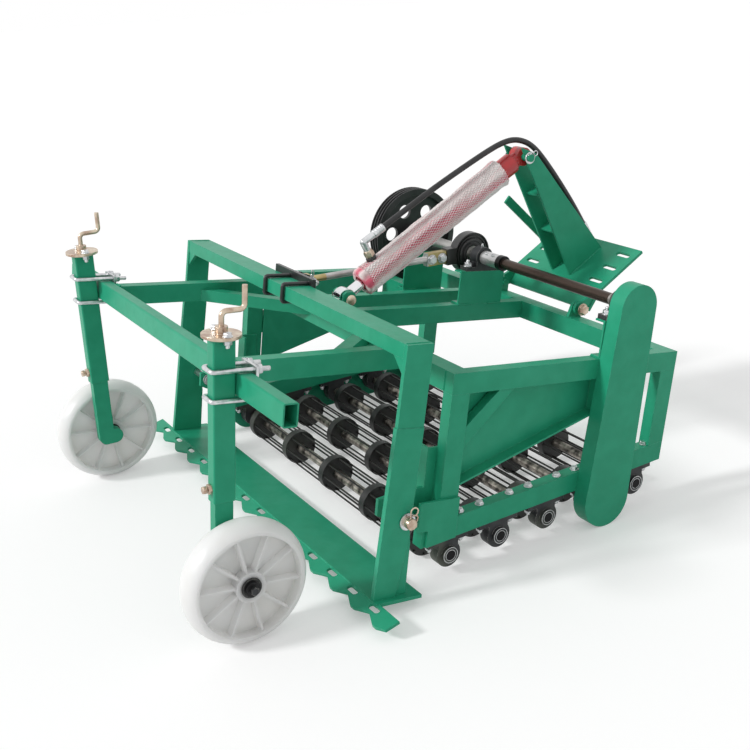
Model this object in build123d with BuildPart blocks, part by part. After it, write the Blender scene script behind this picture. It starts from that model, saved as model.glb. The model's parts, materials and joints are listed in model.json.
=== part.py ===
"""Garlic harvester: a mounted digger with a shaken blade, a bed of caged rollers and a lifting mast.

The machine is drawn level, in millimetres: +X forward, +Y to its left, +Z up, Y = 0 on its centre plane.
X = 0 is the front face of the blade portal. One last move pitches it back onto the floor.
"""

import os
from math import atan2, cos, hypot, radians, sin, tan

from build123d import *

# Driving dimensions
PORTAL_WIDTH = 1400
PORTAL_TOP = 760
FRAME_HALF = 640
FRAME_FRONT = -200
FRAME_REAR = -1050
FRAME_TOP = 651
RAIL = 60
RAIL_WIDTH = 40
PLATE = 10
CONVEYOR_SLOPE = 9.3
STANCE_PITCH = 8.6

# Blade portal: a flat beam on two legs that swing on pins
BEAM_DEPTH = 80
BEAM_HEIGHT = 40
LEG_THICK = 16
LEG_KNEE = 540
LEG_SETBACK = 2
LEG_FLARE = 8
PIN_X, PIN_Z = -50, 276
PIN_RADIUS = 12.5
RUNNING_FIT = 0.05

# Digging blade: a level plate, and a toothed strip that slopes down ahead of it
BLADE_TOP = 57
BLADE_FRONT, BLADE_REAR = 34, -112
BLADE_HALF = 718
STRIP_TIP, STRIP_ROOT = (78, 36), (25, 57)
STRIP_HALF = 815
STRIP_THICK = 8
TOOTH_COUNT = 15
TOOTH_PITCH = 111
TOOTH_DEPTH = 21
TOOTH_FLAT = 16
BLADE_SLOT = (45, 18)
SLOT_ROW = 38

# Gauge frame and its two wheels
GAUGE_TUBE_FRONT = 384
GAUGE_TUBE_LENGTH = 1560
GAUGE_TUBE_Z = (613, 673)
ARM_Y = 428
SLEEVE_Y = 515
SLEEVE_DEPTH, SLEEVE_WIDTH, SLEEVE_WALL = 60, 40, 4
SLEEVE_TOP, SLEEVE_BOTTOM = 765, 333
SLEEVE_LEAN = {"left": 3.0, "right": 8.0}
LEG_PLAY = 1
WHEEL_RADIUS = 172
WHEEL_FACE = 152
WHEEL_RIM = 10
WHEEL_WIDTH = 92
WHEEL_Y = 584
WHEEL_TRAIL = 30
WHEEL_RIBS = 10
HUB_RING, HUB_RADIUS = 42, 28
AXLE_RADIUS = 12.5

# Rollers of the conveyor bed
ROLLER_FIRST = (-252, 115)
ROLLER_PITCH = 178
ROLLER_COUNT = 5
ROLLER_SHAFT = 15
DISC_RADIUS = 58
DISC_THICK = 28
DISC_Y = (-510, -255, 0, 255, 510)
CAGE_RODS = 8
CAGE_RADIUS = 52
ROD_RADIUS = 3
BEARING_HEIGHT = 50
BEARING_HEAD = 40
COLLAR_RADIUS, COLLAR_REACH = 25, 8

# Drive shaft over the deck
SHAFT_X, SHAFT_Z = -800, 812
SHAFT_RADIUS = 17.5
PULLEY_Y = -477
PULLEY_RADIUS = 170
DECK_NEAR_Y, DECK_FAR_Y = -55, -245
PULLEY_BEARING_Y = -400
BEARER_TOP = 624
SHAFT_BEARING_HEIGHT, SHAFT_BEARING_HEAD = 47, 34
STAND_HALF, STAND_WALL = 19, 6
ROD_Y = -124
ECCENTRIC_THROW = 8
ECCENTRIC_RADIUS = 30
HOUSING_RADIUS = 72
HOUSING_BORE = 48
HOUSING_GROOVES = ((68, 62, 7), (58, 53, 5))
CLEVIS_X, CLEVIS_Z = -165, 738
CLEVIS_PIN = 10

# Guards at the two sides
CASE_WIDTH = 52
CASE_LOW = (-790, 217, 86)
CASE_HIGH = (SHAFT_X, SHAFT_Z, 68)

# Lifting mast and its cylinder
HINGE_X, HINGE_Z, HINGE_Y = -1030, 682, 210
HINGE_RADIUS = 11
MAST_PIN = (-870, 1159)
MAST_HALF = 50
MAST_PLATE = 8
PLATE_FRONT, PLATE_REAR = (-1100, 742), (-1276, 874)
PLATE_HALF = 220
CYLINDER_FOOT = (-231, 708)
CYLINDER_PIN = 12.5
BARREL_RADIUS = 35
BARREL_BORE = 28
PISTON_ROD = 17.5
BARREL_START, BARREL_END = 42, 706
WRAP_RADIUS, WRAP_START, WRAP_END = 50, 92, 692
HOSE_RADIUS = 9.5
HOSE_ROUTE = [
    (-320, 904), (-424, 976), (-540, 1054), (-651, 1123), (-737, 1174), (-789, 1200), (-834, 1212),
    (-881, 1208), (-924, 1190), (-975, 1151), (-1062, 1071), (-1152, 980), (-1220, 901)]
HOSE_SPLIT = 5
ELBOW_ALONG, ELBOW_LENGTH, ELBOW_RADIUS = 640, 42, 11
COUPLER_LENGTH = 30


def mid(pair):
    return (pair[0] + pair[1]) / 2


def block(x, y, z):
    """Add a box that spans three ranges."""
    with Locations((mid(x), mid(y), mid(z))):
        Box(abs(x[1] - x[0]), abs(y[1] - y[0]), abs(z[1] - z[0]))


def prism(points, y):
    """Add a side-view outline of (x, z) points, carried from y[0] to y[1]."""
    with BuildSketch(Plane.XZ.offset(-max(y))) as outline:
        with BuildLine():
            Polyline(*points, close=True)
        make_face()
    extrude(outline.sketch, amount=abs(y[1] - y[0]))


def bar(start, end, radius, mode=Mode.ADD):
    """Add a round bar between two points."""
    run = Vector(end) - Vector(start)
    with BuildSketch(Plane(origin=start, z_dir=run)) as section:
        Circle(radius)
    extrude(section.sketch, amount=run.length, mode=mode)


def bent_rod(points, radius, bend):
    """Add a round rod along straight runs with rounded corners."""
    with BuildLine() as route:
        FilletPolyline(*points, radius=bend)
    with BuildSketch(Plane(origin=route.line @ 0, z_dir=route.line % 0)) as section:
        Circle(radius)
    sweep(section.sketch, path=route.line)


def cross_bar(x, z, y, radius, mode=Mode.ADD):
    """Add a round bar that lies across the machine."""
    bar((x, min(y), z), (x, max(y), z), radius, mode)


def side_strut(start, end, depth, y):
    """Add a flat-sided member between two (x, z) points, `depth` deep in side view."""
    run = (end[0] - start[0], end[1] - start[1])
    length = hypot(*run)
    along = (run[0] / length, 0, run[1] / length)
    centre = ((start[0] + end[0]) / 2, mid(y), (start[1] + end[1]) / 2)
    with Locations(Plane(origin=centre, x_dir=along, z_dir=(-along[2], 0, along[0]))):
        Box(length, abs(y[1] - y[0]), depth)


def both(low, high):
    """The left and the right range of a pair that mirrors across the centre plane."""
    return ((low, high), (-high, -low))


def roller_axis(index):
    step = ROLLER_PITCH * index
    slope = radians(CONVEYOR_SLOPE)
    return ROLLER_FIRST[0] - step * cos(slope), ROLLER_FIRST[1] + step * sin(slope)


def rail_line(x, rise):
    """Height of a line that runs `rise` above the roller axes, square to them."""
    slope = radians(CONVEYOR_SLOPE)
    return ROLLER_FIRST[1] + (ROLLER_FIRST[0] - x) * tan(slope) + rise / cos(slope)


def pillow_block(x, z, y, height, head, bore, half_base, turn=0):
    """Add a bearing block round a cross shaft, its base `height` below the axis before `turn` degrees."""
    foot = 14
    with BuildSketch(Plane((x, max(y), z), x_dir=(1, 0, 0), z_dir=(0, -1, 0))) as outline:
        with Locations(Location((0, 0, 0), (0, 0, turn))):
            Circle(head)
            with Locations((0, foot / 2 - height)):
                Rectangle(2 * half_base, foot)
            with Locations((0, -height / 2)):
                Rectangle(1.7 * head, height)
        Circle(bore, mode=Mode.SUBTRACT)
    extrude(outline.sketch, amount=abs(y[1] - y[0]))


# Where the floor lies, and the points that depend on it
PITCH = radians(STANCE_PITCH)


def above_floor(x, z):
    """Distance of a point of the level machine from the floor's direction through its origin."""
    return x * sin(PITCH) + z * cos(PITCH)


FLOOR = above_floor(CASE_LOW[0], CASE_LOW[1]) - CASE_LOW[2]
LEFT_RIGHT = {"left": 1, "right": -1}
LOWER_TOP = BEARING_HEIGHT + RAIL
HUB_OUT = SLEEVE_DEPTH / 2 - WHEEL_TRAIL


def sleeve_place(side):
    """Frame of a gauge post: its origin on the gauge tube's lower front edge, +Z up the post."""
    y = SLEEVE_Y * LEFT_RIGHT[side]
    return Location((GAUGE_TUBE_FRONT, y, GAUGE_TUBE_Z[0]), (0, SLEEVE_LEAN[side], 0))


def hub_drop(side):
    """How far down its post a gauge wheel's hub lies so that the wheel meets the floor."""
    lean = radians(SLEEVE_LEAN[side])
    start_x = GAUGE_TUBE_FRONT + HUB_OUT * cos(lean)
    start_z = GAUGE_TUBE_Z[0] - HUB_OUT * sin(lean)
    fall = above_floor(sin(lean), cos(lean))
    return (above_floor(start_x, start_z) - FLOOR - WHEEL_RADIUS) / fall


def hub_place(side):
    """Frame of a gauge wheel's axle at its leg, behind the middle of the post."""
    return sleeve_place(side) * Location((HUB_OUT, 0, -hub_drop(side)))


cylinder_span = Vector(*CYLINDER_FOOT) - Vector(*MAST_PIN)
CYLINDER_LENGTH = cylinder_span.length
CYLINDER_RUN = (cylinder_span.X / CYLINDER_LENGTH, cylinder_span.Y / CYLINDER_LENGTH)


def on_cylinder(along, out=0, y=0):
    """Point `along` the cylinder from the mast pin, `out` above its axis in side view."""
    x = MAST_PIN[0] + along * CYLINDER_RUN[0] - out * CYLINDER_RUN[1]
    z = MAST_PIN[1] + along * CYLINDER_RUN[1] + out * CYLINDER_RUN[0]
    return x, y, z


def on_plate(along, out=0):
    """(x, z) of a point up the slotted plate from its front edge, `out` above its upper face."""
    run = (PLATE_REAR[0] - PLATE_FRONT[0], PLATE_REAR[1] - PLATE_FRONT[1])
    length = hypot(*run)
    dx, dz = run[0] / length, run[1] / length
    return PLATE_FRONT[0] + along * dx + out * dz, PLATE_FRONT[1] + along * dz - out * dx


# Main frame
with BuildPart() as top_rails:
    for y in both(FRAME_HALF - RAIL_WIDTH, FRAME_HALF):
        block((FRAME_REAR, FRAME_FRONT), y, (FRAME_TOP - RAIL, FRAME_TOP))

INSIDE = FRAME_HALF - RAIL_WIDTH
with BuildPart() as cross_tubes:
    for front in (FRAME_FRONT, FRAME_REAR + RAIL):
        block((front - RAIL, front), (-INSIDE, INSIDE), (FRAME_TOP - RAIL, FRAME_TOP))
    bearer_y = (-INSIDE, DECK_FAR_Y - RAIL_WIDTH / 2)
    block((SHAFT_X - RAIL / 2, SHAFT_X + RAIL / 2), bearer_y, (BEARER_TOP - RAIL, BEARER_TOP))

with BuildPart() as deck_tubes:
    for centre in (DECK_NEAR_Y, DECK_FAR_Y):
        y = (centre - RAIL_WIDTH / 2, centre + RAIL_WIDTH / 2)
        block((FRAME_REAR + RAIL, FRAME_FRONT - RAIL), y, (FRAME_TOP - RAIL, FRAME_TOP))

with BuildPart() as frame_posts:
    for y in both(INSIDE, FRAME_HALF):
        for front in (FRAME_FRONT, FRAME_REAR + RAIL):
            rear = front - RAIL
            top = FRAME_TOP - RAIL
            foot = (rail_line(rear, LOWER_TOP), rail_line(front, LOWER_TOP))
            prism([(front, top), (rear, top), (rear, foot[0]), (front, foot[1])], y)

LOWER_FRONT = -150
with BuildPart() as lower_rails:
    for y in both(INSIDE, FRAME_HALF):
        upper = [(x, rail_line(x, LOWER_TOP)) for x in (LOWER_FRONT, FRAME_REAR)]
        lower = [(x, rail_line(x, BEARING_HEIGHT)) for x in (FRAME_REAR, LOWER_FRONT)]
        prism(upper + lower, y)

GUSSET_TOP, GUSSET_NOTCH = 291, 205
with BuildPart() as pivot_plates:
    for y in both(FRAME_HALF, FRAME_HALF + PLATE):
        rear = FRAME_FRONT - RAIL
        nose, step = -128, -161
        lower = [(x, rail_line(x, BEARING_HEIGHT + 3)) for x in (rear, step)]
        notch = [(step, GUSSET_NOTCH), (nose, GUSSET_NOTCH)]
        prism([(nose, GUSSET_TOP), (rear, GUSSET_TOP)] + lower + notch, y)
    for y in both(INSIDE - 12, INSIDE):
        prism([(-22, 300), (-22, 252), (-90, 222), (-258, 205), (-258, 320), (-90, 312)], y)
        cross_bar(PIN_X, PIN_Z, y, PIN_RADIUS, Mode.SUBTRACT)
    stiffener = (-236, -169)
    for y in both(INSIDE - 48, INSIDE):
        block((stiffener[1] - 8, stiffener[1]), y, (300, 430))
    for y in both(INSIDE - 8, INSIDE):
        block(stiffener, y, (300, 430))

with BuildPart() as pivot_pins:
    for y in both(INSIDE - 18, PORTAL_WIDTH / 2 + 26):
        cross_bar(PIN_X, PIN_Z, y, PIN_RADIUS)
    for y in both(PORTAL_WIDTH / 2 + 0.5, PORTAL_WIDTH / 2 + 5):
        cross_bar(PIN_X, PIN_Z, y, 24)
    for y in both(INSIDE - 17, INSIDE - 12):
        cross_bar(PIN_X, PIN_Z, y, 20)

SHEET = 6
with BuildPart() as side_plates:
    front, low = FRAME_FRONT - RAIL - 2, 322
    rear, high = -745, 484
    for y in both(INSIDE - SHEET, INSIDE):
        prism([(front, low), (rear, high), (rear, FRAME_TOP - 8), (front, FRAME_TOP - 8)], y)
    for y in both(INSIDE - SHEET, FRAME_HALF - 2):
        prism([(front, low), (rear, high), (rear, high + SHEET), (front, low + SHEET)], y)
        block((rear, rear + SHEET), y, (high, FRAME_TOP - RAIL))

ARM_TUBE = (ARM_Y - RAIL_WIDTH / 2, ARM_Y + RAIL_WIDTH / 2)
with BuildPart() as braces:
    for y in both(INSIDE + 5, FRAME_HALF - 5):
        rear = FRAME_FRONT - RAIL
        top = FRAME_TOP - RAIL
        prism([(rear, 490), (rear, 428), (rear - 160, top), (rear - 108, top)], y)
    for hand in (1, -1):
        outline = [(70, ARM_TUBE[0]), (10, ARM_TUBE[0]), (FRAME_FRONT, 210), (FRAME_FRONT, 155)]
        with BuildSketch(Plane.XY.offset(GAUGE_TUBE_Z[0])) as plan:
            with BuildLine():
                Polyline(*[(x, hand * y) for x, y in outline], close=True)
            make_face()
        extrude(amount=FRAME_TOP - GAUGE_TUBE_Z[0])

# Gauge frame
with BuildPart() as gauge_arms:
    for y in both(*ARM_TUBE):
        block((FRAME_FRONT, GAUGE_TUBE_FRONT - RAIL_WIDTH), y, GAUGE_TUBE_Z)

with BuildPart() as gauge_tube:
    with BuildSketch(Plane.XZ.offset(-GAUGE_TUBE_LENGTH / 2)):
        with Locations((GAUGE_TUBE_FRONT - RAIL_WIDTH / 2, mid(GAUGE_TUBE_Z))):
            RectangleRounded(RAIL_WIDTH, RAIL, 6)
            Rectangle(RAIL_WIDTH - 2 * SLEEVE_WALL, RAIL - 2 * SLEEVE_WALL, mode=Mode.SUBTRACT)
    extrude(amount=GAUGE_TUBE_LENGTH)

SLEEVE_LOW, SLEEVE_HIGH = SLEEVE_BOTTOM - GAUGE_TUBE_Z[0], SLEEVE_TOP - GAUGE_TUBE_Z[0]
with BuildPart() as gauge_sleeves:
    for side in LEFT_RIGHT:
        post = Plane(sleeve_place(side)).offset(SLEEVE_LOW)
        with BuildSketch(post):
            with Locations((SLEEVE_DEPTH / 2, 0)):
                RectangleRounded(SLEEVE_DEPTH, SLEEVE_WIDTH, 5)
                Rectangle(SLEEVE_DEPTH - 2 * SLEEVE_WALL, SLEEVE_WIDTH - 2 * SLEEVE_WALL, mode=Mode.SUBTRACT)
        extrude(amount=SLEEVE_HIGH - SLEEVE_LOW)

CRANK = [(0, 0), (0, 62), (-62, 62), (-62, 122)]
CRANK_RADIUS = 7
with BuildPart() as gauge_cranks:
    for side in LEFT_RIGHT:
        head = sleeve_place(side) * Location((SLEEVE_DEPTH / 2, 0, SLEEVE_HIGH))
        with Locations(head):
            Cylinder(50, 8, align=(Align.CENTER, Align.CENTER, Align.MIN))
            Cylinder(16, 26, align=(Align.CENTER, Align.CENTER, Align.MIN))
        turns = [head * Location((x, 0, z)) for x, z in CRANK]
        bent_rod([turn.position for turn in turns], CRANK_RADIUS, 14)

BOLT_RADIUS = 6
with BuildPart() as gauge_clamps:
    for side, hand in LEFT_RIGHT.items():
        lean = radians(SLEEVE_LEAN[side])
        middle = SLEEVE_Y * hand
        reach = SLEEVE_WIDTH / 2 + BOLT_RADIUS + 1
        back = GAUGE_TUBE_FRONT - RAIL_WIDTH
        block((back - 8, back), (middle - 42, middle + 42), (GAUGE_TUBE_Z[0] - 18, GAUGE_TUBE_Z[1] + 18))
        for z in (GAUGE_TUBE_Z[0] - BOLT_RADIUS - 2, GAUGE_TUBE_Z[1] + BOLT_RADIUS + 2):
            lead = (z - GAUGE_TUBE_Z[0]) * tan(lean) + SLEEVE_DEPTH / cos(lean)
            front = GAUGE_TUBE_FRONT + lead + BOLT_RADIUS * (1 + sin(lean)) + 1
            sides = (middle - reach, middle + reach)
            ends = [(back - 44, y, z) for y in sides]
            bent_rod([ends[0], (front, sides[0], z), (front, sides[1], z), ends[1]], BOLT_RADIUS, 10)
            for y in sides:
                bar((back - 20, y, z), (back - 8, y, z), 11)

gauge_legs = {}
gauge_wheels = {}
wheel_hubs = {}
LEG_TOP = 22
LEG_DEPTH = SLEEVE_DEPTH - 2 * (SLEEVE_WALL + LEG_PLAY)
LEG_WIDTH = SLEEVE_WIDTH - 2 * (SLEEVE_WALL + LEG_PLAY)
WHEEL_GAP = 1
for side, hand in LEFT_RIGHT.items():
    post = sleeve_place(side)
    side_plane = Plane(origin=hub_place(side).position, x_dir=(1, 0, 0), z_dir=(0, hand, 0))
    lean = radians(SLEEVE_LEAN[side])
    post_foot = (WHEEL_TRAIL * cos(lean), hand * WHEEL_TRAIL * sin(lean))
    inner = (WHEEL_Y - SLEEVE_Y) - WHEEL_WIDTH / 2
    with BuildPart() as leg:
        with BuildSketch(Plane(post).offset(LEG_TOP)):
            with Locations((SLEEVE_DEPTH / 2, 0)):
                Rectangle(LEG_DEPTH, LEG_WIDTH)
        extrude(amount=-(LEG_TOP + hub_drop(side)))
        with BuildSketch(side_plane.offset(-LEG_WIDTH / 2)):
            with Locations((0, 0), post_foot):
                Circle(LEG_DEPTH / 2)
            make_hull()
        extrude(amount=LEG_WIDTH)
        with BuildSketch(side_plane):
            Circle(AXLE_RADIUS)
        extrude(amount=inner + WHEEL_WIDTH + 16)
        with BuildSketch(side_plane):
            Circle(20)
        extrude(amount=inner - WHEEL_GAP)
        with BuildSketch(side_plane.offset(inner + WHEEL_WIDTH + WHEEL_GAP)):
            Circle(20)
        extrude(amount=8)
    gauge_legs[side] = leg
    disc_plane = side_plane.offset(inner + WHEEL_WIDTH / 2)
    half = WHEEL_WIDTH / 2
    rim_inside = WHEEL_FACE - WHEEL_RIM
    with BuildPart() as wheel:
        with BuildSketch(Plane(origin=disc_plane.origin, x_dir=(0, 1, 0), z_dir=(1, 0, 0))):
            with BuildLine():
                ThreePointArc((-half, WHEEL_FACE), (0, WHEEL_RADIUS), (half, WHEEL_FACE))
                Polyline((half, WHEEL_FACE), (half, rim_inside), (-half, rim_inside), (-half, WHEEL_FACE))
            make_face()
        revolve(axis=Axis(disc_plane.origin, (0, 1, 0)))
        with BuildSketch(disc_plane):
            Circle(rim_inside + 2)
            Circle(HUB_RADIUS, mode=Mode.SUBTRACT)
        extrude(amount=12, both=True)
        with BuildSketch(disc_plane):
            Circle(HUB_RING)
            Circle(HUB_RADIUS, mode=Mode.SUBTRACT)
        extrude(amount=half - 2, both=True)
        with BuildSketch(disc_plane):
            with PolarLocations((rim_inside + HUB_RING) / 2, WHEEL_RIBS):
                Rectangle(rim_inside - HUB_RING + 4, 7)
        extrude(amount=half - 8, both=True)
    gauge_wheels[side] = wheel
    with BuildPart() as hub_piece:
        with BuildSketch(disc_plane):
            Circle(HUB_RADIUS)
            Circle(AXLE_RADIUS + RUNNING_FIT, mode=Mode.SUBTRACT)
        extrude(amount=WHEEL_WIDTH / 2, both=True)
    wheel_hubs[side] = hub_piece

# Blade portal
BEAM_INSIDE = PORTAL_WIDTH / 2 - LEG_THICK
with BuildPart() as portal_beam:
    block((-BEAM_DEPTH, 0), (-BEAM_INSIDE, BEAM_INSIDE), (PORTAL_TOP - BEAM_HEIGHT, PORTAL_TOP))

with BuildPart() as portal_legs:
    for y in both(BEAM_INSIDE, PORTAL_WIDTH / 2 - LEG_SETBACK):
        prism([(0, PORTAL_TOP), (7, LEG_KNEE - 20), (-74, LEG_KNEE - 20), (-BEAM_DEPTH, PORTAL_TOP)], y)
    for y in both(BEAM_INSIDE, PORTAL_WIDTH / 2):
        prism([(10, LEG_KNEE), (32, BLADE_TOP), (-36, BLADE_TOP), (-62, 215), (-75, LEG_KNEE - 5)], y)
    for y in both(BEAM_INSIDE, BEAM_INSIDE + LEG_FLARE):
        prism([(18, 300), (32, BLADE_TOP), (-74, BLADE_TOP), (-74, 205), (-60, 300)], y)
    for hand in (1, -1):
        wall, under = hand * BEAM_INSIDE, PORTAL_TOP - BEAM_HEIGHT
        with BuildSketch(Plane.YZ.offset(-PLATE - 2)):
            with BuildLine():
                Polyline((wall, under), (wall - hand * 50, under), (wall, under - 45), close=True)
            make_face()
        extrude(amount=PLATE)
    for y in both(BEAM_INSIDE - 1, PORTAL_WIDTH / 2 + 1):
        cross_bar(PIN_X, PIN_Z, y, PIN_RADIUS + RUNNING_FIT, Mode.SUBTRACT)

strip_rise = Vector(*STRIP_ROOT) - Vector(*STRIP_TIP)
strip_normal = (strip_rise.Y / strip_rise.length, 0, -strip_rise.X / strip_rise.length)
with BuildPart() as blade:
    block((BLADE_REAR, BLADE_FRONT), (-BLADE_HALF, BLADE_HALF), (BLADE_TOP - PLATE, BLADE_TOP))
    last_tip = (TOOTH_COUNT - 1) / 2 * TOOTH_PITCH
    end_share = (STRIP_HALF - last_tip - TOOTH_FLAT / 2) / (TOOTH_PITCH / 2 - TOOTH_FLAT / 2)
    end_depth = TOOTH_DEPTH * end_share
    edge = [(-STRIP_HALF, strip_rise.length), (-STRIP_HALF, end_depth)]
    for tooth in range(TOOTH_COUNT):
        tip = tooth * TOOTH_PITCH - last_tip
        edge += [(tip - TOOTH_FLAT / 2, 0), (tip + TOOTH_FLAT / 2, 0)]
        if tooth < TOOTH_COUNT - 1:
            edge.append((tip + TOOTH_PITCH / 2, TOOTH_DEPTH))
    edge += [(STRIP_HALF, end_depth), (STRIP_HALF, strip_rise.length)]
    with BuildSketch(Plane((STRIP_TIP[0], 0, STRIP_TIP[1]), x_dir=(0, 1, 0), z_dir=strip_normal)):
        with BuildLine():
            Polyline(*edge, close=True)
        make_face()
        with GridLocations(TOOTH_PITCH, 1, TOOTH_COUNT - 1, 1):
            with Locations((0, SLOT_ROW)):
                SlotOverall(*BLADE_SLOT, mode=Mode.SUBTRACT)
    extrude(amount=-STRIP_THICK)

# Shaking drive
ROD_DROP = atan2(SHAFT_Z - CLEVIS_Z, CLEVIS_X - SHAFT_X)
EAR_GAP = 14
with BuildPart() as rod_anchor:
    block((-BEAM_DEPTH - 12, -BEAM_DEPTH), (-180, 60), (PORTAL_TOP - BEAM_HEIGHT - 22, PORTAL_TOP + 22))
    for y in ((ROD_Y - EAR_GAP - 10, ROD_Y - EAR_GAP), (ROD_Y + EAR_GAP, ROD_Y + EAR_GAP + 10)):
        prism([(-92, 766), (-92, 708), (-150, 714), (-184, 728), (-184, 748), (-150, 762)], y)
    cross_bar(CLEVIS_X, CLEVIS_Z, (ROD_Y - EAR_GAP - 16, ROD_Y + EAR_GAP + 16), CLEVIS_PIN)
    for y in (-78, 36):
        low, high = PORTAL_TOP - BEAM_HEIGHT - BOLT_RADIUS - 1, PORTAL_TOP + BOLT_RADIUS + 1
        nose = BOLT_RADIUS + 1
        tail = -BEAM_DEPTH - 34
        bent_rod([(tail, y, low), (nose, y, low), (nose, y, high), (tail, y, high)], BOLT_RADIUS, 8)
        for z in (low, high):
            bar((-BEAM_DEPTH - 24, y, z), (-BEAM_DEPTH - 12, y, z), 11)

ROD_LENGTH = hypot(SHAFT_X - CLEVIS_X, SHAFT_Z - CLEVIS_Z)
LUG_REACH = 104
ROD_HALF = 12
rod_y = (ROD_Y - ROD_HALF, ROD_Y + ROD_HALF)


def on_rod(along):
    return CLEVIS_X - along * cos(ROD_DROP), ROD_Y, CLEVIS_Z + along * sin(ROD_DROP)


with BuildPart() as connecting_rod:
    cross_bar(CLEVIS_X, CLEVIS_Z, rod_y, 20)
    bar(on_rod(12), on_rod(ROD_LENGTH - LUG_REACH - 60), ROD_HALF - 1)
    strap = [(on_rod(a)[0], on_rod(a)[2]) for a in (ROD_LENGTH - LUG_REACH - 80, ROD_LENGTH - LUG_REACH)]
    side_strut(*strap, 44, rod_y)
    cross_bar(CLEVIS_X, CLEVIS_Z, rod_y, CLEVIS_PIN + RUNNING_FIT, Mode.SUBTRACT)

with BuildPart() as eccentric_housing:
    y = (ROD_Y - 18, ROD_Y + 18)
    cross_bar(SHAFT_X, SHAFT_Z, y, HOUSING_RADIUS)
    lug = [(on_rod(a)[0], on_rod(a)[2]) for a in (ROD_LENGTH - LUG_REACH, ROD_LENGTH - 50)]
    side_strut(*lug, 56, y)
    cross_bar(SHAFT_X, SHAFT_Z, y, HOUSING_BORE, Mode.SUBTRACT)
    for outer, inner, depth in HOUSING_GROOVES:
        with BuildSketch(Plane((SHAFT_X, y[1], SHAFT_Z), x_dir=(1, 0, 0), z_dir=(0, -1, 0))):
            Circle(outer)
            Circle(inner, mode=Mode.SUBTRACT)
        extrude(amount=depth, mode=Mode.SUBTRACT)

with BuildPart() as drive_shaft:
    cross_bar(SHAFT_X, SHAFT_Z, (PULLEY_Y - 34, FRAME_HALF - 1), SHAFT_RADIUS)
    cross_bar(SHAFT_X, SHAFT_Z + ECCENTRIC_THROW, (ROD_Y - 16, ROD_Y + 16), ECCENTRIC_RADIUS)
    cross_bar(SHAFT_X, SHAFT_Z, (-34, 48), SHAFT_RADIUS + 6)
    cross_bar(SHAFT_X, SHAFT_Z, (48, 70), SHAFT_RADIUS + 8)

PULLEY_HALF, GROOVE_STEP, GROOVE_DEPTH = 26, 16.5, 12
with BuildPart() as drive_pulley:
    hub_plane = Plane((SHAFT_X, PULLEY_Y, SHAFT_Z), x_dir=(1, 0, 0), z_dir=(0, 1, 0))
    floor_radius = PULLEY_RADIUS - GROOVE_DEPTH
    rim_inside = PULLEY_RADIUS - 22
    rim = [(PULLEY_HALF, rim_inside), (-PULLEY_HALF, rim_inside), (-PULLEY_HALF, PULLEY_RADIUS)]
    for groove in (-GROOVE_STEP, 0, GROOVE_STEP):
        rim += [(groove - 6.5, PULLEY_RADIUS), (groove - 3, floor_radius)]
        rim += [(groove + 3, floor_radius), (groove + 6.5, PULLEY_RADIUS)]
    rim.append((PULLEY_HALF, PULLEY_RADIUS))
    with BuildSketch(Plane(hub_plane.origin, x_dir=(0, 1, 0), z_dir=(1, 0, 0))):
        with BuildLine():
            Polyline(*rim, close=True)
        make_face()
    revolve(axis=Axis(hub_plane.origin, (0, 1, 0)))
    with BuildSketch(hub_plane):
        Circle(PULLEY_RADIUS - 20)
        with PolarLocations(95, 6):
            Circle(25, mode=Mode.SUBTRACT)
        Circle(SHAFT_RADIUS, mode=Mode.SUBTRACT)
    extrude(amount=7, both=True)
    with BuildSketch(hub_plane):
        Circle(40)
        Circle(SHAFT_RADIUS, mode=Mode.SUBTRACT)
    extrude(amount=28, both=True)

STAND_TOP = SHAFT_Z - SHAFT_BEARING_HEIGHT
# Each bearing: its y, half its stand's length, what the stand rests on
bearing_lines = (
    (DECK_NEAR_Y, 92, FRAME_TOP),
    (PULLEY_BEARING_Y, 85, BEARER_TOP),
    (FRAME_HALF - RAIL_WIDTH / 2, 76, FRAME_TOP),
)
with BuildPart() as bearing_stands:
    for y, half, base in bearing_lines:
        length = (SHAFT_X - half, SHAFT_X + half)
        near = y + STAND_HALF
        block(length, (near - STAND_WALL, near), (base, STAND_TOP))
        for z in ((base, base + STAND_WALL), (STAND_TOP - STAND_WALL, STAND_TOP)):
            block(length, (y - STAND_HALF, near), z)

with BuildPart() as shaft_bearings:
    for y, half, base in bearing_lines:
        span = (y - STAND_HALF, y + STAND_HALF)
        bore = SHAFT_RADIUS + RUNNING_FIT
        pillow_block(SHAFT_X, SHAFT_Z, span, SHAFT_BEARING_HEIGHT, SHAFT_BEARING_HEAD, bore, 70)

# Conveyor bed
roller_cages = {}
roller_discs = {}
rod_angles = [radians(number * 360 / CAGE_RODS) for number in range(CAGE_RODS)]
rod_places = [(CAGE_RADIUS * cos(angle), CAGE_RADIUS * sin(angle)) for angle in rod_angles]
CAGE_END = max(DISC_Y) + DISC_THICK / 2 + 4
CASE_ROLLER = 3
for index in range(ROLLER_COUNT):
    x, z = roller_axis(index)
    with BuildPart() as cage:
        left_end = FRAME_HALF - 1 if index == CASE_ROLLER else FRAME_HALF + COLLAR_REACH + 1
        cross_bar(x, z, (-FRAME_HALF - 4, left_end), ROLLER_SHAFT)
        for dx, dz in rod_places:
            cross_bar(x + dx, z + dz, (-CAGE_END, CAGE_END), ROD_RADIUS)
    roller_cages[index + 1] = cage
    with BuildPart() as discs:
        for y in DISC_Y:
            with BuildSketch(Plane((x, y, z), x_dir=(1, 0, 0), z_dir=(0, -1, 0))):
                Circle(DISC_RADIUS)
                Circle(ROLLER_SHAFT, mode=Mode.SUBTRACT)
                with Locations(rod_places):
                    Circle(ROD_RADIUS, mode=Mode.SUBTRACT)
            extrude(amount=DISC_THICK / 2, both=True)
    roller_discs[index + 1] = discs

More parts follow.
